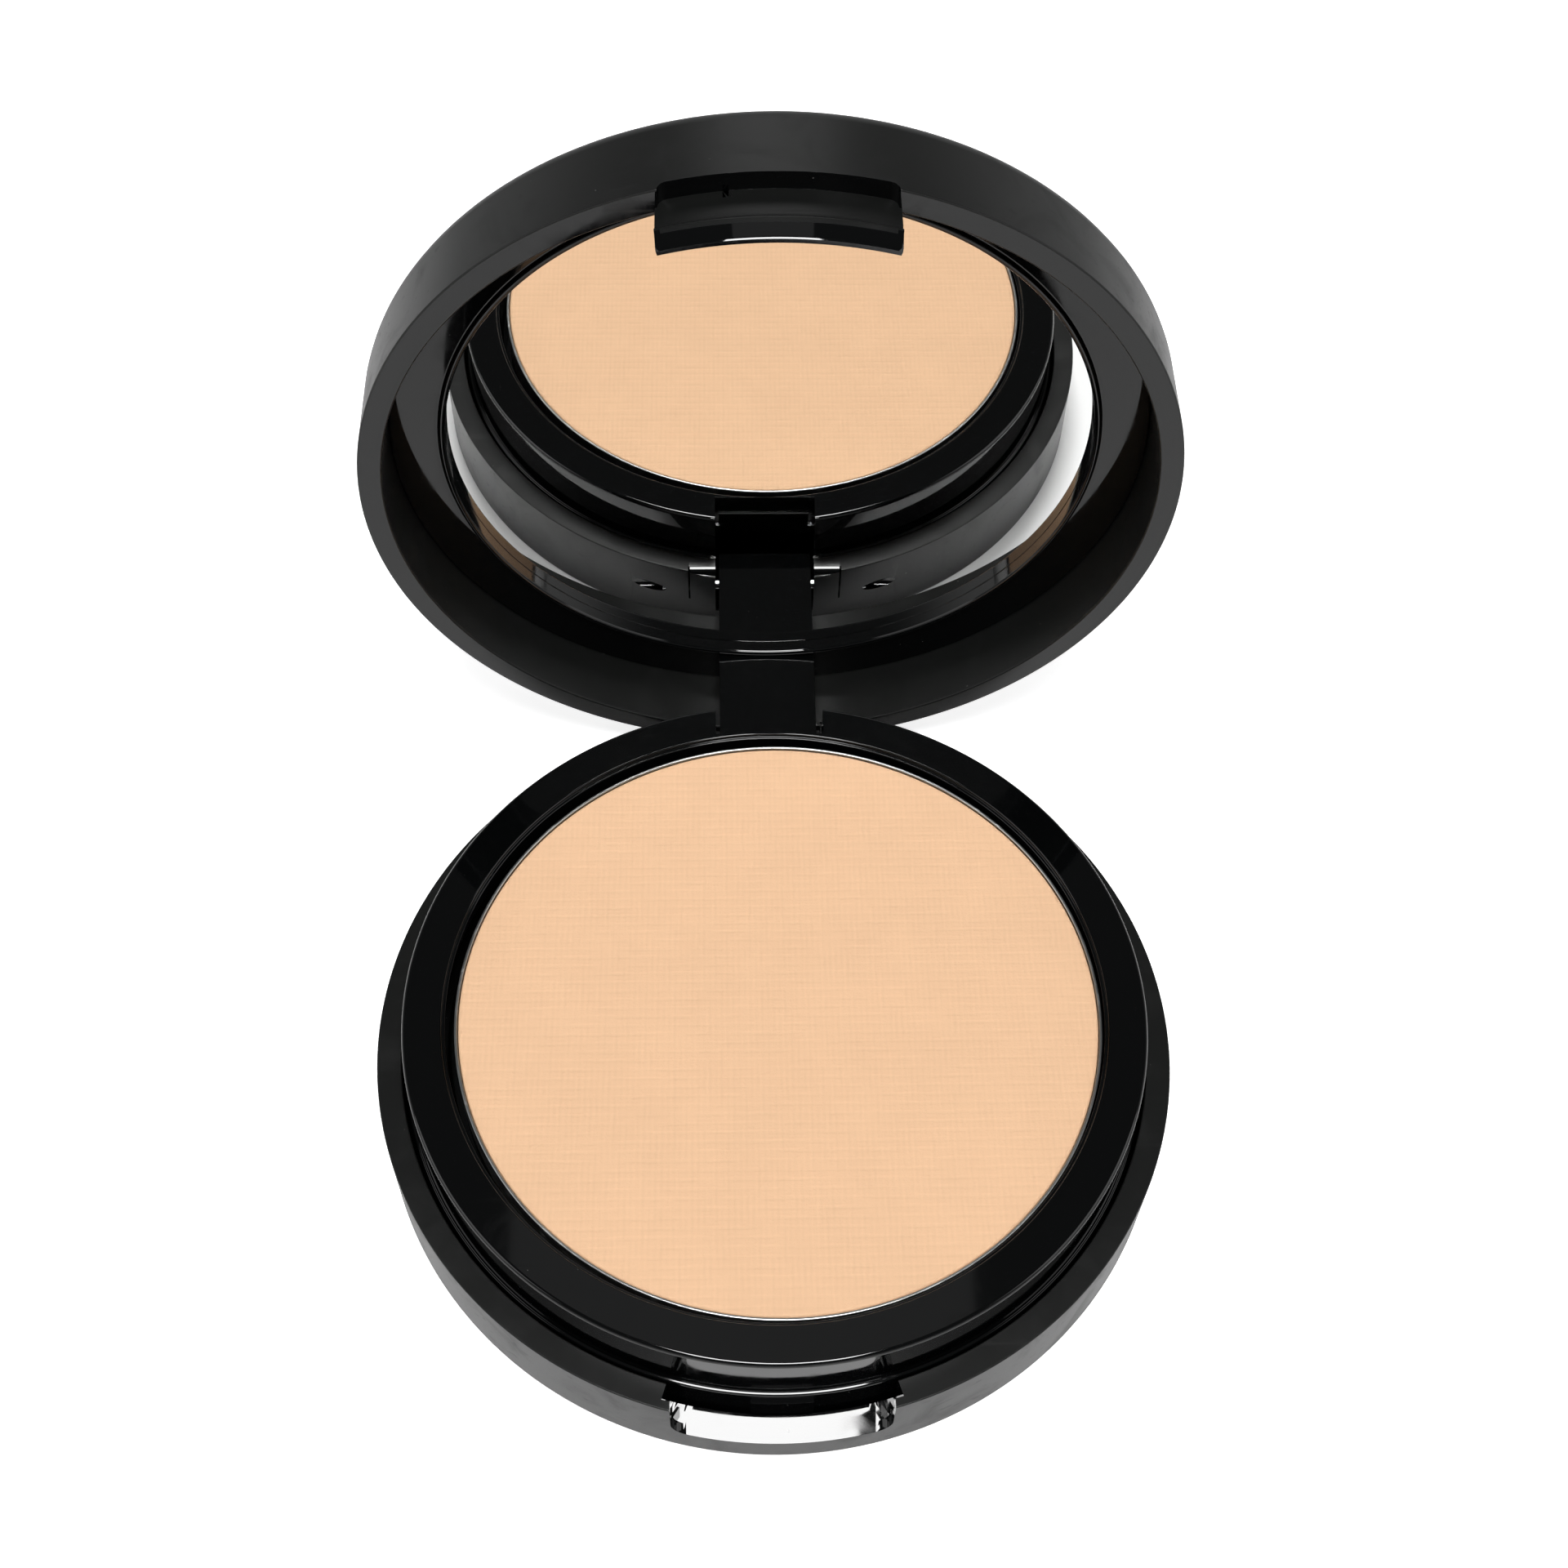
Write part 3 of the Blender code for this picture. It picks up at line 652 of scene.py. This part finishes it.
def pan_tin():
    material, tree, shader, where = new_material("pan_tin", (0.42, 0.43, 0.42), 0.35, 1.0)
    marks = place_group(tree, handling_group_once(), where, Smudge_size=400.0, Smudge=0.15, Scratches=0.2, Dust=0.2)
    tree.links.new(math_node(tree, "ADD", marks.outputs["Roughness"], 0.28), shader.inputs["Roughness"])
    bumped(tree, shader, marks.outputs["Height"], 0.004 * MM)
    return material


def pin_steel():
    material, tree, shader, where = new_material("pin_steel", (0.62, 0.62, 0.64), 0.22, 1.0)
    marks = place_group(tree, handling_group_once(), where, Smudge_size=900.0, Smudge=0.1, Scratches=0.3, Dust=0.0)
    tree.links.new(math_node(tree, "ADD", marks.outputs["Roughness"], 0.18), shader.inputs["Roughness"])
    return material


def silvered_glass():
    material, tree, shader, where = new_material("silvered_glass", (0.95, 0.955, 0.945), 0.0, 1.0)
    marks = place_group(tree, handling_group_once(), where, Smudge_size=70.0, Smudge=0.012, Scratches=0.0, Dust=0.12)
    tree.links.new(marks.outputs["Roughness"], shader.inputs["Roughness"])
    toned(tree, shader, marks.outputs["Dust"], (0.95, 0.955, 0.945), (0.55, 0.55, 0.53))
    return material


def foam_tape():
    material, tree, shader, where = new_material("foam_tape", (0.8, 0.8, 0.78), 0.8)
    cells = noise(tree, where, 5000.0, 2.0, 0.6)
    toned(tree, shader, cells, (0.7, 0.7, 0.68), (0.86, 0.86, 0.84))
    bumped(tree, shader, cells, 0.03 * MM)
    return material


def clear_glue():
    material, tree, shader, where = new_material("clear_glue", (0.75, 0.74, 0.68), 0.35)
    swirl = noise(tree, where, 300.0, 3.0, 0.5, 1.5)
    toned(tree, shader, swirl, (0.66, 0.64, 0.56), (0.8, 0.79, 0.74))
    tree.links.new(span(tree, swirl, 0.3, 0.7, 0.2, 0.5), shader.inputs["Roughness"])
    bumped(tree, shader, swirl, 0.05 * MM)
    return material


def handling_group_once():
    return bpy.data.node_groups.get("Handling marks") or handling_group()


def grain_group_once():
    return bpy.data.node_groups.get("Mould grain") or grain_group()


def material_once(maker):
    return bpy.data.materials.get("compact_" + maker.__name__) or maker()


# Pieces of the base


class COMPACT_OT_base_casing(bpy.types.Operator):
    """Build the black casing with its rim, finger notch, hinge lugs and pin holes"""

    bl_idname = "compact.base_casing"
    bl_label = "Base casing"

    def execute(self, context):
        size = sizes()
        radius = CASING_HIGH.x
        rim = CASING_HIGH.z
        bore = radius - size.base_wall
        casing = piece_from(
            turned(
                [
                    (0.0, size.base_floor, 0),
                    (bore, size.base_floor, 0.3 * MM),
                    (bore, rim, size.rim_round),
                    (radius, rim, size.rim_round),
                    (radius, 0.0, size.foot_round),
                    (0.0, 0.0, 0),
                ]
            ),
            "casing_shell",
        )
        gap = size.knuckle_width / 2 + 0.4 * MM
        lug_end = gap + 6.9 * MM
        lug_inner = HINGE_POINT.y - 1.9 * MM
        lug_top = rim - 1.0 * MM
        carve(casing, block((-lug_end, lug_inner, 0.8 * MM), (lug_end, bore + 0.06 * MM, lug_top)), "UNION")
        over = 2.0 * MM
        stop = HINGE_POINT.z - 2.25 * MM
        carve(casing, block((-gap, lug_inner - over, stop), (gap, radius + over, rim + over)))
        self.relieve(casing, radius, rim)
        bore_line = rod(
            0.68 * MM, (-radius, HINGE_POINT.y, HINGE_POINT.z), (radius, HINGE_POINT.y, HINGE_POINT.z)
        )
        carve(casing, bore_line)
        self.notch(casing, radius, rim, bore)
        soften(casing, 0.12 * MM)
        smooth(casing)
        put_on(casing, "base", "shell_black", material_once(satin_black), "base_casing")
        low = size.base_floor - 0.1 * MM
        high = rim - 0.1 * MM
        edge = radius - 0.1 * MM
        polish(casing, material_once(gloss_black), lambda at: low < at.z < high and at.xy.length < edge)
        return {"FINISHED"}

    def relieve(self, casing, radius, rim):
        """Rounds the rim about the hinge line, and marks the seams either side of the lugs."""
        half = 8.2 * MM
        over = 2.0 * MM
        tool = piece_from(
            block((-half, HINGE_POINT.y, HINGE_POINT.z), (half, radius + over, rim + over)), "relief_block"
        )
        carve(
            tool,
            rod(
                rim - HINGE_POINT.z, (-radius, HINGE_POINT.y, HINGE_POINT.z),
                (radius, HINGE_POINT.y, HINGE_POINT.z), 96,
            ),
        )
        work = bmesh.new()
        work.from_mesh(tool.data)
        bpy.data.objects.remove(tool)
        carve(casing, work)
        seam = 0.09 * MM
        for side in (-half, half):
            carve(
                casing,
                block((side - seam, HINGE_POINT.y + 0.7 * MM, HINGE_POINT.z - 0.8 * MM), (side + seam, radius, rim + over)),
            )

    def notch(self, casing, radius, rim, bore):
        """The finger notch, whose floor clears the shut catch tab, and the pocket that the tab drops into."""
        size = sizes()
        over = 2.0 * MM
        tab_inner = LID_HIGH.x - size.lid_wall - 0.35 * MM
        floor = rim + size.lid_gap - size.tab_reach - 0.2 * MM
        inner = bore - over
        slope = 0.32
        scoop = trough(
            size.notch_width / 2, inner, radius + over, floor, rim + over, 1.4 * MM, slope, tab_inner
        )
        carve(casing, scoop)
        pocket_radius = bore + 1.45 * MM
        pocket_half = size.tab_width / 2 + 0.5 * MM
        pocket = sector(
            [
                (bore - 0.15 * MM, floor + 0.02 * MM + slope * (tab_inner - bore)),
                (pocket_radius, floor + 0.02 * MM + slope * (tab_inner - pocket_radius)),
                (pocket_radius, rim + over),
                (bore - 0.15 * MM, rim + over),
            ],
            pocket_half, pocket_radius,
        )
        carve(casing, pocket)


class COMPACT_OT_pan_carrier(bpy.types.Operator):
    """Build the polished deck round the powder, with its well, its skirt and the catch nib"""

    bl_idname = "compact.pan_carrier"
    bl_label = "Pan carrier"

    def execute(self, context):
        size = sizes()
        top = CARRIER_HIGH.z
        skirt = CASING_HIGH.x - size.base_wall - 0.3 * MM
        ledge = CASING_HIGH.z - 0.4 * MM
        floor = PAN_LOW.z - 0.25 * MM
        wall = 1.2 * MM
        foot = CARRIER_LOW.z
        deck = piece_from(
            turned(
                [
                    (0.0, floor, 0),
                    (size.well_radius, floor, 0.2 * MM),
                    (size.well_radius, top - 0.35 * MM, 0.1 * MM),
                    (size.well_radius + 0.3 * MM, top - 0.35 * MM, 0.08 * MM),
                    (size.well_radius + 0.3 * MM, top, 0.15 * MM),
                    (size.deck_radius, top, 0.4 * MM),
                    (size.deck_radius, ledge, 0.15 * MM),
                    (skirt, ledge, 0.2 * MM),
                    (skirt, foot, 0.1 * MM),
                    (size.deck_radius - wall, foot, 0.1 * MM),
                    (size.deck_radius - wall, top - wall, 0.2 * MM),
                    (size.well_radius + wall, top - wall, 0.2 * MM),
                    (size.well_radius + wall, floor - wall, 0.1 * MM),
                    (0.0, floor - wall, 0),
                ]
            ),
            "pan_deck",
        )
        gap = size.knuckle_width / 2 + 0.4 * MM
        over = 2.0 * MM
        sweep = math.hypot(3.7 * MM, 1.5 * MM)
        carve(
            deck,
            block(
                (-gap, HINGE_POINT.y - sweep - 0.15 * MM, 0.0), (gap, CASING_HIGH.x, top + over)
            ),
        )
        lug_end = gap + 7.2 * MM
        carve(
            deck,
            block(
                (-lug_end, HINGE_POINT.y - 2.2 * MM, 0.0), (lug_end, CASING_HIGH.x, CASING_HIGH.z - 0.7 * MM)
            ),
        )
        rise = 0.45 * MM
        nib_top = ledge - 0.2 * MM
        nib = sector(
            [
                (skirt - rise, nib_top - 3.4 * MM),
                (skirt + rise, nib_top - 3.4 * MM + rise),
                (skirt + rise, nib_top - rise),
                (skirt - rise, nib_top),
            ],
            2.65 * MM,
            skirt,
            steps=12,
        )
        carve(deck, nib, "UNION")
        soften(deck, 0.1 * MM)
        smooth(deck)
        put_on(deck, "base", "gloss_black", material_once(gloss_black), "pan_carrier")
        return {"FINISHED"}


class COMPACT_OT_powder(bpy.types.Operator):
    """Build the metal pan and the pressed powder in it"""

    bl_idname = "compact.powder"
    bl_label = "Powder and pan"

    def execute(self, context):
        size = sizes()
        centre = (PAN_LOW + PAN_HIGH) / 2
        shift = Matrix.Translation((centre.x, centre.y, 0.0))
        radius = (PAN_HIGH.x - PAN_LOW.x) / 2
        inner = radius - size.pan_sheet
        edge = size.pan_sheet * 0.45
        work = turned(
            [
                (0.0, PAN_LOW.z + size.pan_sheet, 0),
                (inner, PAN_LOW.z + size.pan_sheet, 0.3 * MM),
                (inner, PAN_HIGH.z, edge),
                (radius, PAN_HIGH.z, edge),
                (radius, PAN_LOW.z, 0.6 * MM),
                (0.0, PAN_LOW.z, 0),
            ]
        )
        work.transform(shift)
        pan = piece_from(work, "metal_pan")
        smooth(pan)
        put_on(pan, "base", "pan_tin", material_once(pan_tin), "powder_pan")
        cake_radius = inner - 0.06 * MM
        work = turned(
            [
                (0.0, CAKE_HIGH.z, 0),
                (cake_radius, CAKE_HIGH.z, 0.25 * MM),
                (cake_radius, CAKE_LOW.z, 0),
                (0.0, CAKE_LOW.z, 0),
            ]
        )
        work.transform(shift)
        cake = piece_from(work, "pressed_cake")
        smooth(cake)
        put_on(cake, "base", "pressed_powder", material_once(pressed_powder), "powder_cake")
        glue = frame["nodes"]["pan_adhesive"]
        glue.data.materials.clear()
        glue.data.materials.append(material_once(clear_glue))
        return {"FINISHED"}


class COMPACT_OT_hinge_pins(bpy.types.Operator):
    """Build the two steel hinge pins"""

    bl_idname = "compact.hinge_pins"
    bl_label = "Hinge pins"

    def execute(self, context):
        for word in ("left", "right"):
            low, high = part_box("hinge_pin_" + word)
            middle = (low + high) / 2
            radius = (high.z - low.z) / 2
            work = rod(radius, (low.x, middle.y, middle.z), (high.x, middle.y, middle.z), 48)
            rims = [e for e in work.edges if abs(e.verts[0].co.x - e.verts[1].co.x) < radius / 100]
            rounded_edges(work, rims, radius / 4, 3)
            pin = piece_from(work, "steel_pin_" + word)
            smooth(pin, 40)
            put_on(pin, "base", "pin_steel", material_once(pin_steel), "hinge_pin_" + word)
        return {"FINISHED"}


# Pieces of the lid


class COMPACT_OT_lid_cover(bpy.types.Operator):
    """Build the lid's shell with its finger slot, catch tab and hinge knuckle"""

    bl_idname = "compact.lid_cover"
    bl_label = "Lid cover"

    def execute(self, context):
        size = sizes()
        radius = LID_HIGH.x
        bore = radius - size.lid_wall
        ceiling = size.lid_height - 0.85 * MM
        cover = piece_from(
            turned(
                [
                    (0.0, size.lid_height, 0),
                    (radius, size.lid_height, size.lid_edge_round),
                    (radius, 0.0, 0.15 * MM),
                    (bore, 0.0, 0.15 * MM),
                    (bore, ceiling, 0.3 * MM),
                    (0.0, ceiling, 0),
                ]
            ),
            "lid_shell",
        )
        tab_outer = bore + 0.5 * MM
        self.slot(cover, radius, tab_outer)
        self.tab(cover, bore, tab_outer)
        self.knuckle(cover)
        soften(cover, 0.1 * MM)
        smooth(cover)
        put_on(cover, "lid", "shell_black", material_once(satin_black), "lid_cover")
        half = size.notch_width / 2
        polish(
            cover, material_once(gloss_black),
            lambda at: (at.xy.length < bore - 0.01 * MM and at.z < ceiling + 0.1 * MM)
            or (0.1 * MM < at.z < MM and at.xy.length < radius - 0.1 * MM and abs(at.x) < half)
            or (at.z < -0.1 * MM and at.y > 0)
            or at.z < -2.9 * MM,
        )
        add_to_lid(cover)
        return {"FINISHED"}

    def slot(self, cover, radius, tab_outer):
        """A trough across the rim, behind the tab, with rounded ends."""
        over = 2.0 * MM
        half = sizes().notch_width / 2
        inner = math.sqrt(tab_outer**2 - half**2) - over
        work = trough(half, inner, radius + over, 0.75 * MM, -over, 0.7 * MM)
        keep = sector(
            [(inner - over, -2 * over), (tab_outer, -2 * over), (tab_outer, 2 * over), (inner - over, 2 * over)],
            half + over, tab_outer, steps=48,
        )
        tool = piece_from(work, "slot_trough")
        carve(tool, keep)
        work = bmesh.new()
        work.from_mesh(tool.data)
        bpy.data.objects.remove(tool)
        carve(cover, work)
        work = bmesh.new()
        work.from_mesh(cover.data)
        upper = [
            e for e in work.edges
            if all(v.co.xy.length > radius - 0.05 * MM and abs(v.co.z - 0.75 * MM) < 0.01 * MM for v in e.verts)
            and all(v.co.y < 0 and abs(v.co.x) < half for v in e.verts)
        ]
        rounded_edges(work, upper, 0.25 * MM, 4)
        work.to_mesh(cover.data)
        work.free()

    def tab(self, cover, bore, tab_outer):
        size = sizes()
        inner = bore - 0.35 * MM
        reach = size.tab_reach
        work = sector(
            [
                (inner, -reach),
                (tab_outer - 0.45 * MM, -reach),
                (tab_outer - 0.28 * MM, -reach + 0.25 * MM),
                (tab_outer - 0.02 * MM, -3.05 * MM),
                (tab_outer + 0.12 * MM, -2.75 * MM),
                (tab_outer + 0.14 * MM, -2.6 * MM),
                (tab_outer + 0.10 * MM, -2.45 * MM),
                (tab_outer - 0.06 * MM, -2.25 * MM),
                (tab_outer, -2.0 * MM),
                (tab_outer, 0.0),
                (tab_outer - 0.1 * MM, 0.1 * MM),
                (tab_outer - 0.24 * MM, 0.1 * MM),
                (tab_outer - 0.24 * MM, 1.3 * MM),
                (inner, 1.3 * MM),
                (inner, -2.6 * MM),
                (inner - 0.1 * MM, -2.8 * MM),
                (inner, -3.0 * MM),
            ],
            size.tab_width / 2, tab_outer,
        )
        carve(cover, work, "UNION")

    def knuckle(self, cover):
        size = sizes()
        half = size.knuckle_width / 2
        rise = CASING_HIGH.z + size.lid_gap - HINGE_POINT.z
        foot = -rise - 1.5 * MM
        low = (-half, HINGE_POINT.y - 3.7 * MM, foot)
        high = (half, HINGE_POINT.y + 2.1 * MM, size.recess_depth - 0.03 * MM)
        work = block(low, high)
        lower = [
            e for e in work.edges
            if all(abs(v.co.z - foot) < 1e-6 for v in e.verts) and abs(e.verts[0].co.y - e.verts[1].co.y) < 1e-6
        ]
        front = [e for e in lower if e.verts[0].co.y < HINGE_POINT.y]
        rounded_edges(work, front, 0.6 * MM, 8)
        back = [
            e for e in work.edges
            if all(abs(v.co.z - foot) < 1e-6 and v.co.y > HINGE_POINT.y for v in e.verts)
        ]
        rounded_edges(work, back, 1.2 * MM, 8)
        carve(cover, work, "UNION")
        axis_y = HINGE_POINT.y
        carve(cover, rod(0.68 * MM, (-half * 2, axis_y, -rise), (half * 2, axis_y, -rise)))


class COMPACT_OT_mirror(bpy.types.Operator):
    """Build the polished ring inside the lid and the mirror that it frames"""

    bl_idname = "compact.mirror"
    bl_label = "Mirror and frame"

    def execute(self, context):
        size = sizes()
        outer = LID_HIGH.x - size.lid_wall - 0.12 * MM
        top = size.lid_height - 0.9 * MM
        lip = size.recess_depth - 0.5 * MM
        glass_radius = size.mirror_radius + 0.9 * MM
        pocket = glass_radius + 0.2 * MM
        ring = piece_from(
            turned(
                [
                    (outer, top, 0.1 * MM),
                    (outer, size.recess_depth, 0.15 * MM),
                    (size.mirror_radius + 0.6 * MM, size.recess_depth, 0.15 * MM),
                    (size.mirror_radius + 0.6 * MM, lip, 0.28 * MM),
                    (size.mirror_radius, lip, 0.28 * MM),
                    (size.mirror_radius, size.mirror_depth - 0.03 * MM, 0.05 * MM),
                    (pocket, size.mirror_depth - 0.03 * MM, 0),
                    (pocket, top, 0.1 * MM),
                ],
                closed=True,
            ),
            "mirror_ring",
        )
        smooth(ring)
        add_to_lid(ring)
        put_on(ring, "lid", "gloss_black", material_once(gloss_black), "mirror_frame")
        back = size.mirror_depth + size.mirror_thickness
        glass = piece_from(
            turned(
                [
                    (0.0, back, 0),
                    (glass_radius, back, 0.1 * MM),
                    (glass_radius, size.mirror_depth, 0.1 * MM),
                    (0.0, size.mirror_depth, 0),
                ]
            ),
            "mirror_disc",
        )
        smooth(glass)
        add_to_lid(glass)
        put_on(glass, "lid", "silvered_glass", material_once(silvered_glass), "mirror_glass")
        tape = frame["nodes"]["mirror_tape"]
        tape.data.materials.clear()
        tape.data.materials.append(material_once(foam_tape))
        return {"FINISHED"}


# Studio


class COMPACT_OT_studio(bpy.types.Operator):
    """Set up the pale floor, the soft lights and the camera"""

    bl_idname = "compact.studio"
    bl_label = "Studio"

    def execute(self, context):
        self.floor()
        self.lights(context)
        self.camera(context)
        context.scene.view_settings.view_transform = "Standard"
        return {"FINISHED"}

    def floor(self):
        work = bmesh.new()
        bmesh.ops.create_grid(work, x_segments=1, y_segments=1, size=3.0)
        floor = piece_from(work, "studio_floor")
        material, tree, shader, where = new_material("pale_floor", (0.86, 0.86, 0.86), 0.7)
        shader.inputs["Specular IOR Level"].default_value = 0.0
        glow = bpy.context.scene.compact_studio.floor_gloss
        path = tree.nodes.new("ShaderNodeLightPath")
        seen = math_node(tree, "MULTIPLY", path.outputs["Is Camera Ray"], 0.7)
        shone = math_node(tree, "MULTIPLY", path.outputs["Is Glossy Ray"], glow)
        tree.links.new(math_node(tree, "ADD", seen, shone), shader.inputs["Emission Strength"])
        shader.inputs["Emission Color"].default_value = (1.0, 1.0, 1.0, 1.0)
        floor.data.materials.append(material)

    def lights(self, context):
        studio = context.scene.compact_studio
        world = context.scene.world or bpy.data.worlds.new("Studio")
        context.scene.world = world
        world.use_nodes = True
        tree = world.node_tree
        background = tree.nodes["Background"]
        background.inputs["Strength"].default_value = studio.sky
        coord = tree.nodes.new("ShaderNodeTexCoord").outputs["Generated"]
        parts = tree.nodes.new("ShaderNodeSeparateXYZ")
        tree.links.new(coord, parts.inputs[0])
        level = span(tree, parts.outputs["Z"], 0.1, 0.6, 1.0, 0.12)
        tree.links.new(level, background.inputs["Color"])
        self.softbox("overhead_softbox", studio.key_power, (0.22, 0.19), 0.6, 0.0, 72.5)
        self.softbox("left_softbox", studio.key_power * 0.35, (0.5, 0.5), 0.8, -80.0, 35.0)
        self.softbox("right_softbox", studio.key_power * 0.35, (0.5, 0.5), 0.8, 80.0, 35.0)
        self.softbox("rear_softbox", studio.key_power * 0.04, (0.18, 0.18), 0.5, 180.0, 42.0)
        self.softbox("top_fill", studio.key_power * 0.006, (0.15, 0.15), 0.5, 180.0, 76.0)

    def softbox(self, name, power, size, distance, azimuth, elevation):
        """A rectangular area light at an azimuth from -Y and an elevation, aimed at the object."""
        data = bpy.data.lights.new(name, "AREA")
        data.shape = "RECTANGLE"
        data.size, data.size_y = size
        data.energy = power
        light = bpy.data.objects.new(name, data)
        bpy.context.scene.collection.objects.link(light)
        turn = math.radians(azimuth)
        rise = math.radians(elevation)
        aim = Vector((0.0, 0.02, 0.02))
        away = Vector((math.sin(turn) * math.cos(rise), -math.cos(turn) * math.cos(rise), math.sin(rise)))
        light.location = aim + away * distance
        light.rotation_mode = "QUATERNION"
        light.rotation_quaternion = away.to_track_quat("Z", "Y")

    def camera(self, context):
        studio = context.scene.compact_studio
        data = bpy.data.cameras.new("product_camera")
        data.lens = studio.lens
        data.sensor_width = 36.0
        data.clip_start = 0.01
        data.clip_end = 20.0
        camera = bpy.data.objects.new("product_camera", data)
        context.scene.collection.objects.link(camera)
        ahead = Vector(
            (
                math.sin(studio.azimuth) * math.cos(studio.elevation),
                math.cos(studio.azimuth) * math.cos(studio.elevation),
                -math.sin(studio.elevation),
            )
        )
        level_right = Vector((math.cos(studio.azimuth), -math.sin(studio.azimuth), 0.0))
        level_up = level_right.cross(ahead)
        right = level_right * math.cos(studio.roll) + level_up * math.sin(studio.roll)
        up = level_up * math.cos(studio.roll) - level_right * math.sin(studio.roll)
        camera.matrix_world = Matrix.Translation(Vector(studio.target) - ahead * studio.distance) @ Matrix(
            (
                (right.x, up.x, -ahead.x, 0.0),
                (right.y, up.y, -ahead.y, 0.0),
                (right.z, up.z, -ahead.z, 0.0),
                (0.0, 0.0, 0.0, 1.0),
            )
        )
        context.scene.camera = camera


class COMPACT_PT_panel(bpy.types.Panel):
    """Lists the compact's pieces, sizes and finishes"""

    bl_label = "Powder compact"
    bl_idname = "COMPACT_PT_panel"
    bl_space_type = "VIEW_3D"
    bl_region_type = "UI"
    bl_category = "Compact"

    def draw(self, context):
        layout = self.layout
        for operator in OPERATORS:
            layout.operator(operator.bl_idname)
        for group in (context.scene.compact_sizes, context.scene.compact_finishes, context.scene.compact_studio):
            box = layout.box()
            for name in group.__annotations__:
                box.prop(group, name)


OPERATORS = (
    COMPACT_OT_base_casing,
    COMPACT_OT_pan_carrier,
    COMPACT_OT_powder,
    COMPACT_OT_hinge_pins,
    COMPACT_OT_lid_cover,
    COMPACT_OT_mirror,
    COMPACT_OT_studio,
)
GROUPS = (CompactSizes, CompactFinishes, CompactStudio)


def register():
    for item in (*GROUPS, *OPERATORS, COMPACT_PT_panel):
        bpy.utils.register_class(item)
    bpy.types.Scene.compact_sizes = bpy.props.PointerProperty(type=CompactSizes)
    bpy.types.Scene.compact_finishes = bpy.props.PointerProperty(type=CompactFinishes)
    bpy.types.Scene.compact_studio = bpy.props.PointerProperty(type=CompactStudio)


def unregister():
    del bpy.types.Scene.compact_studio
    del bpy.types.Scene.compact_finishes
    del bpy.types.Scene.compact_sizes
    for item in reversed((*GROUPS, *OPERATORS, COMPACT_PT_panel)):
        bpy.utils.unregister_class(item)


def main():
    register()
    bpy.ops.compact.base_casing()
    bpy.ops.compact.pan_carrier()
    bpy.ops.compact.powder()
    bpy.ops.compact.hinge_pins()
    bpy.ops.compact.lid_cover()
    bpy.ops.compact.mirror()
    bpy.ops.compact.studio()


if __name__ == "__main__":
    main()
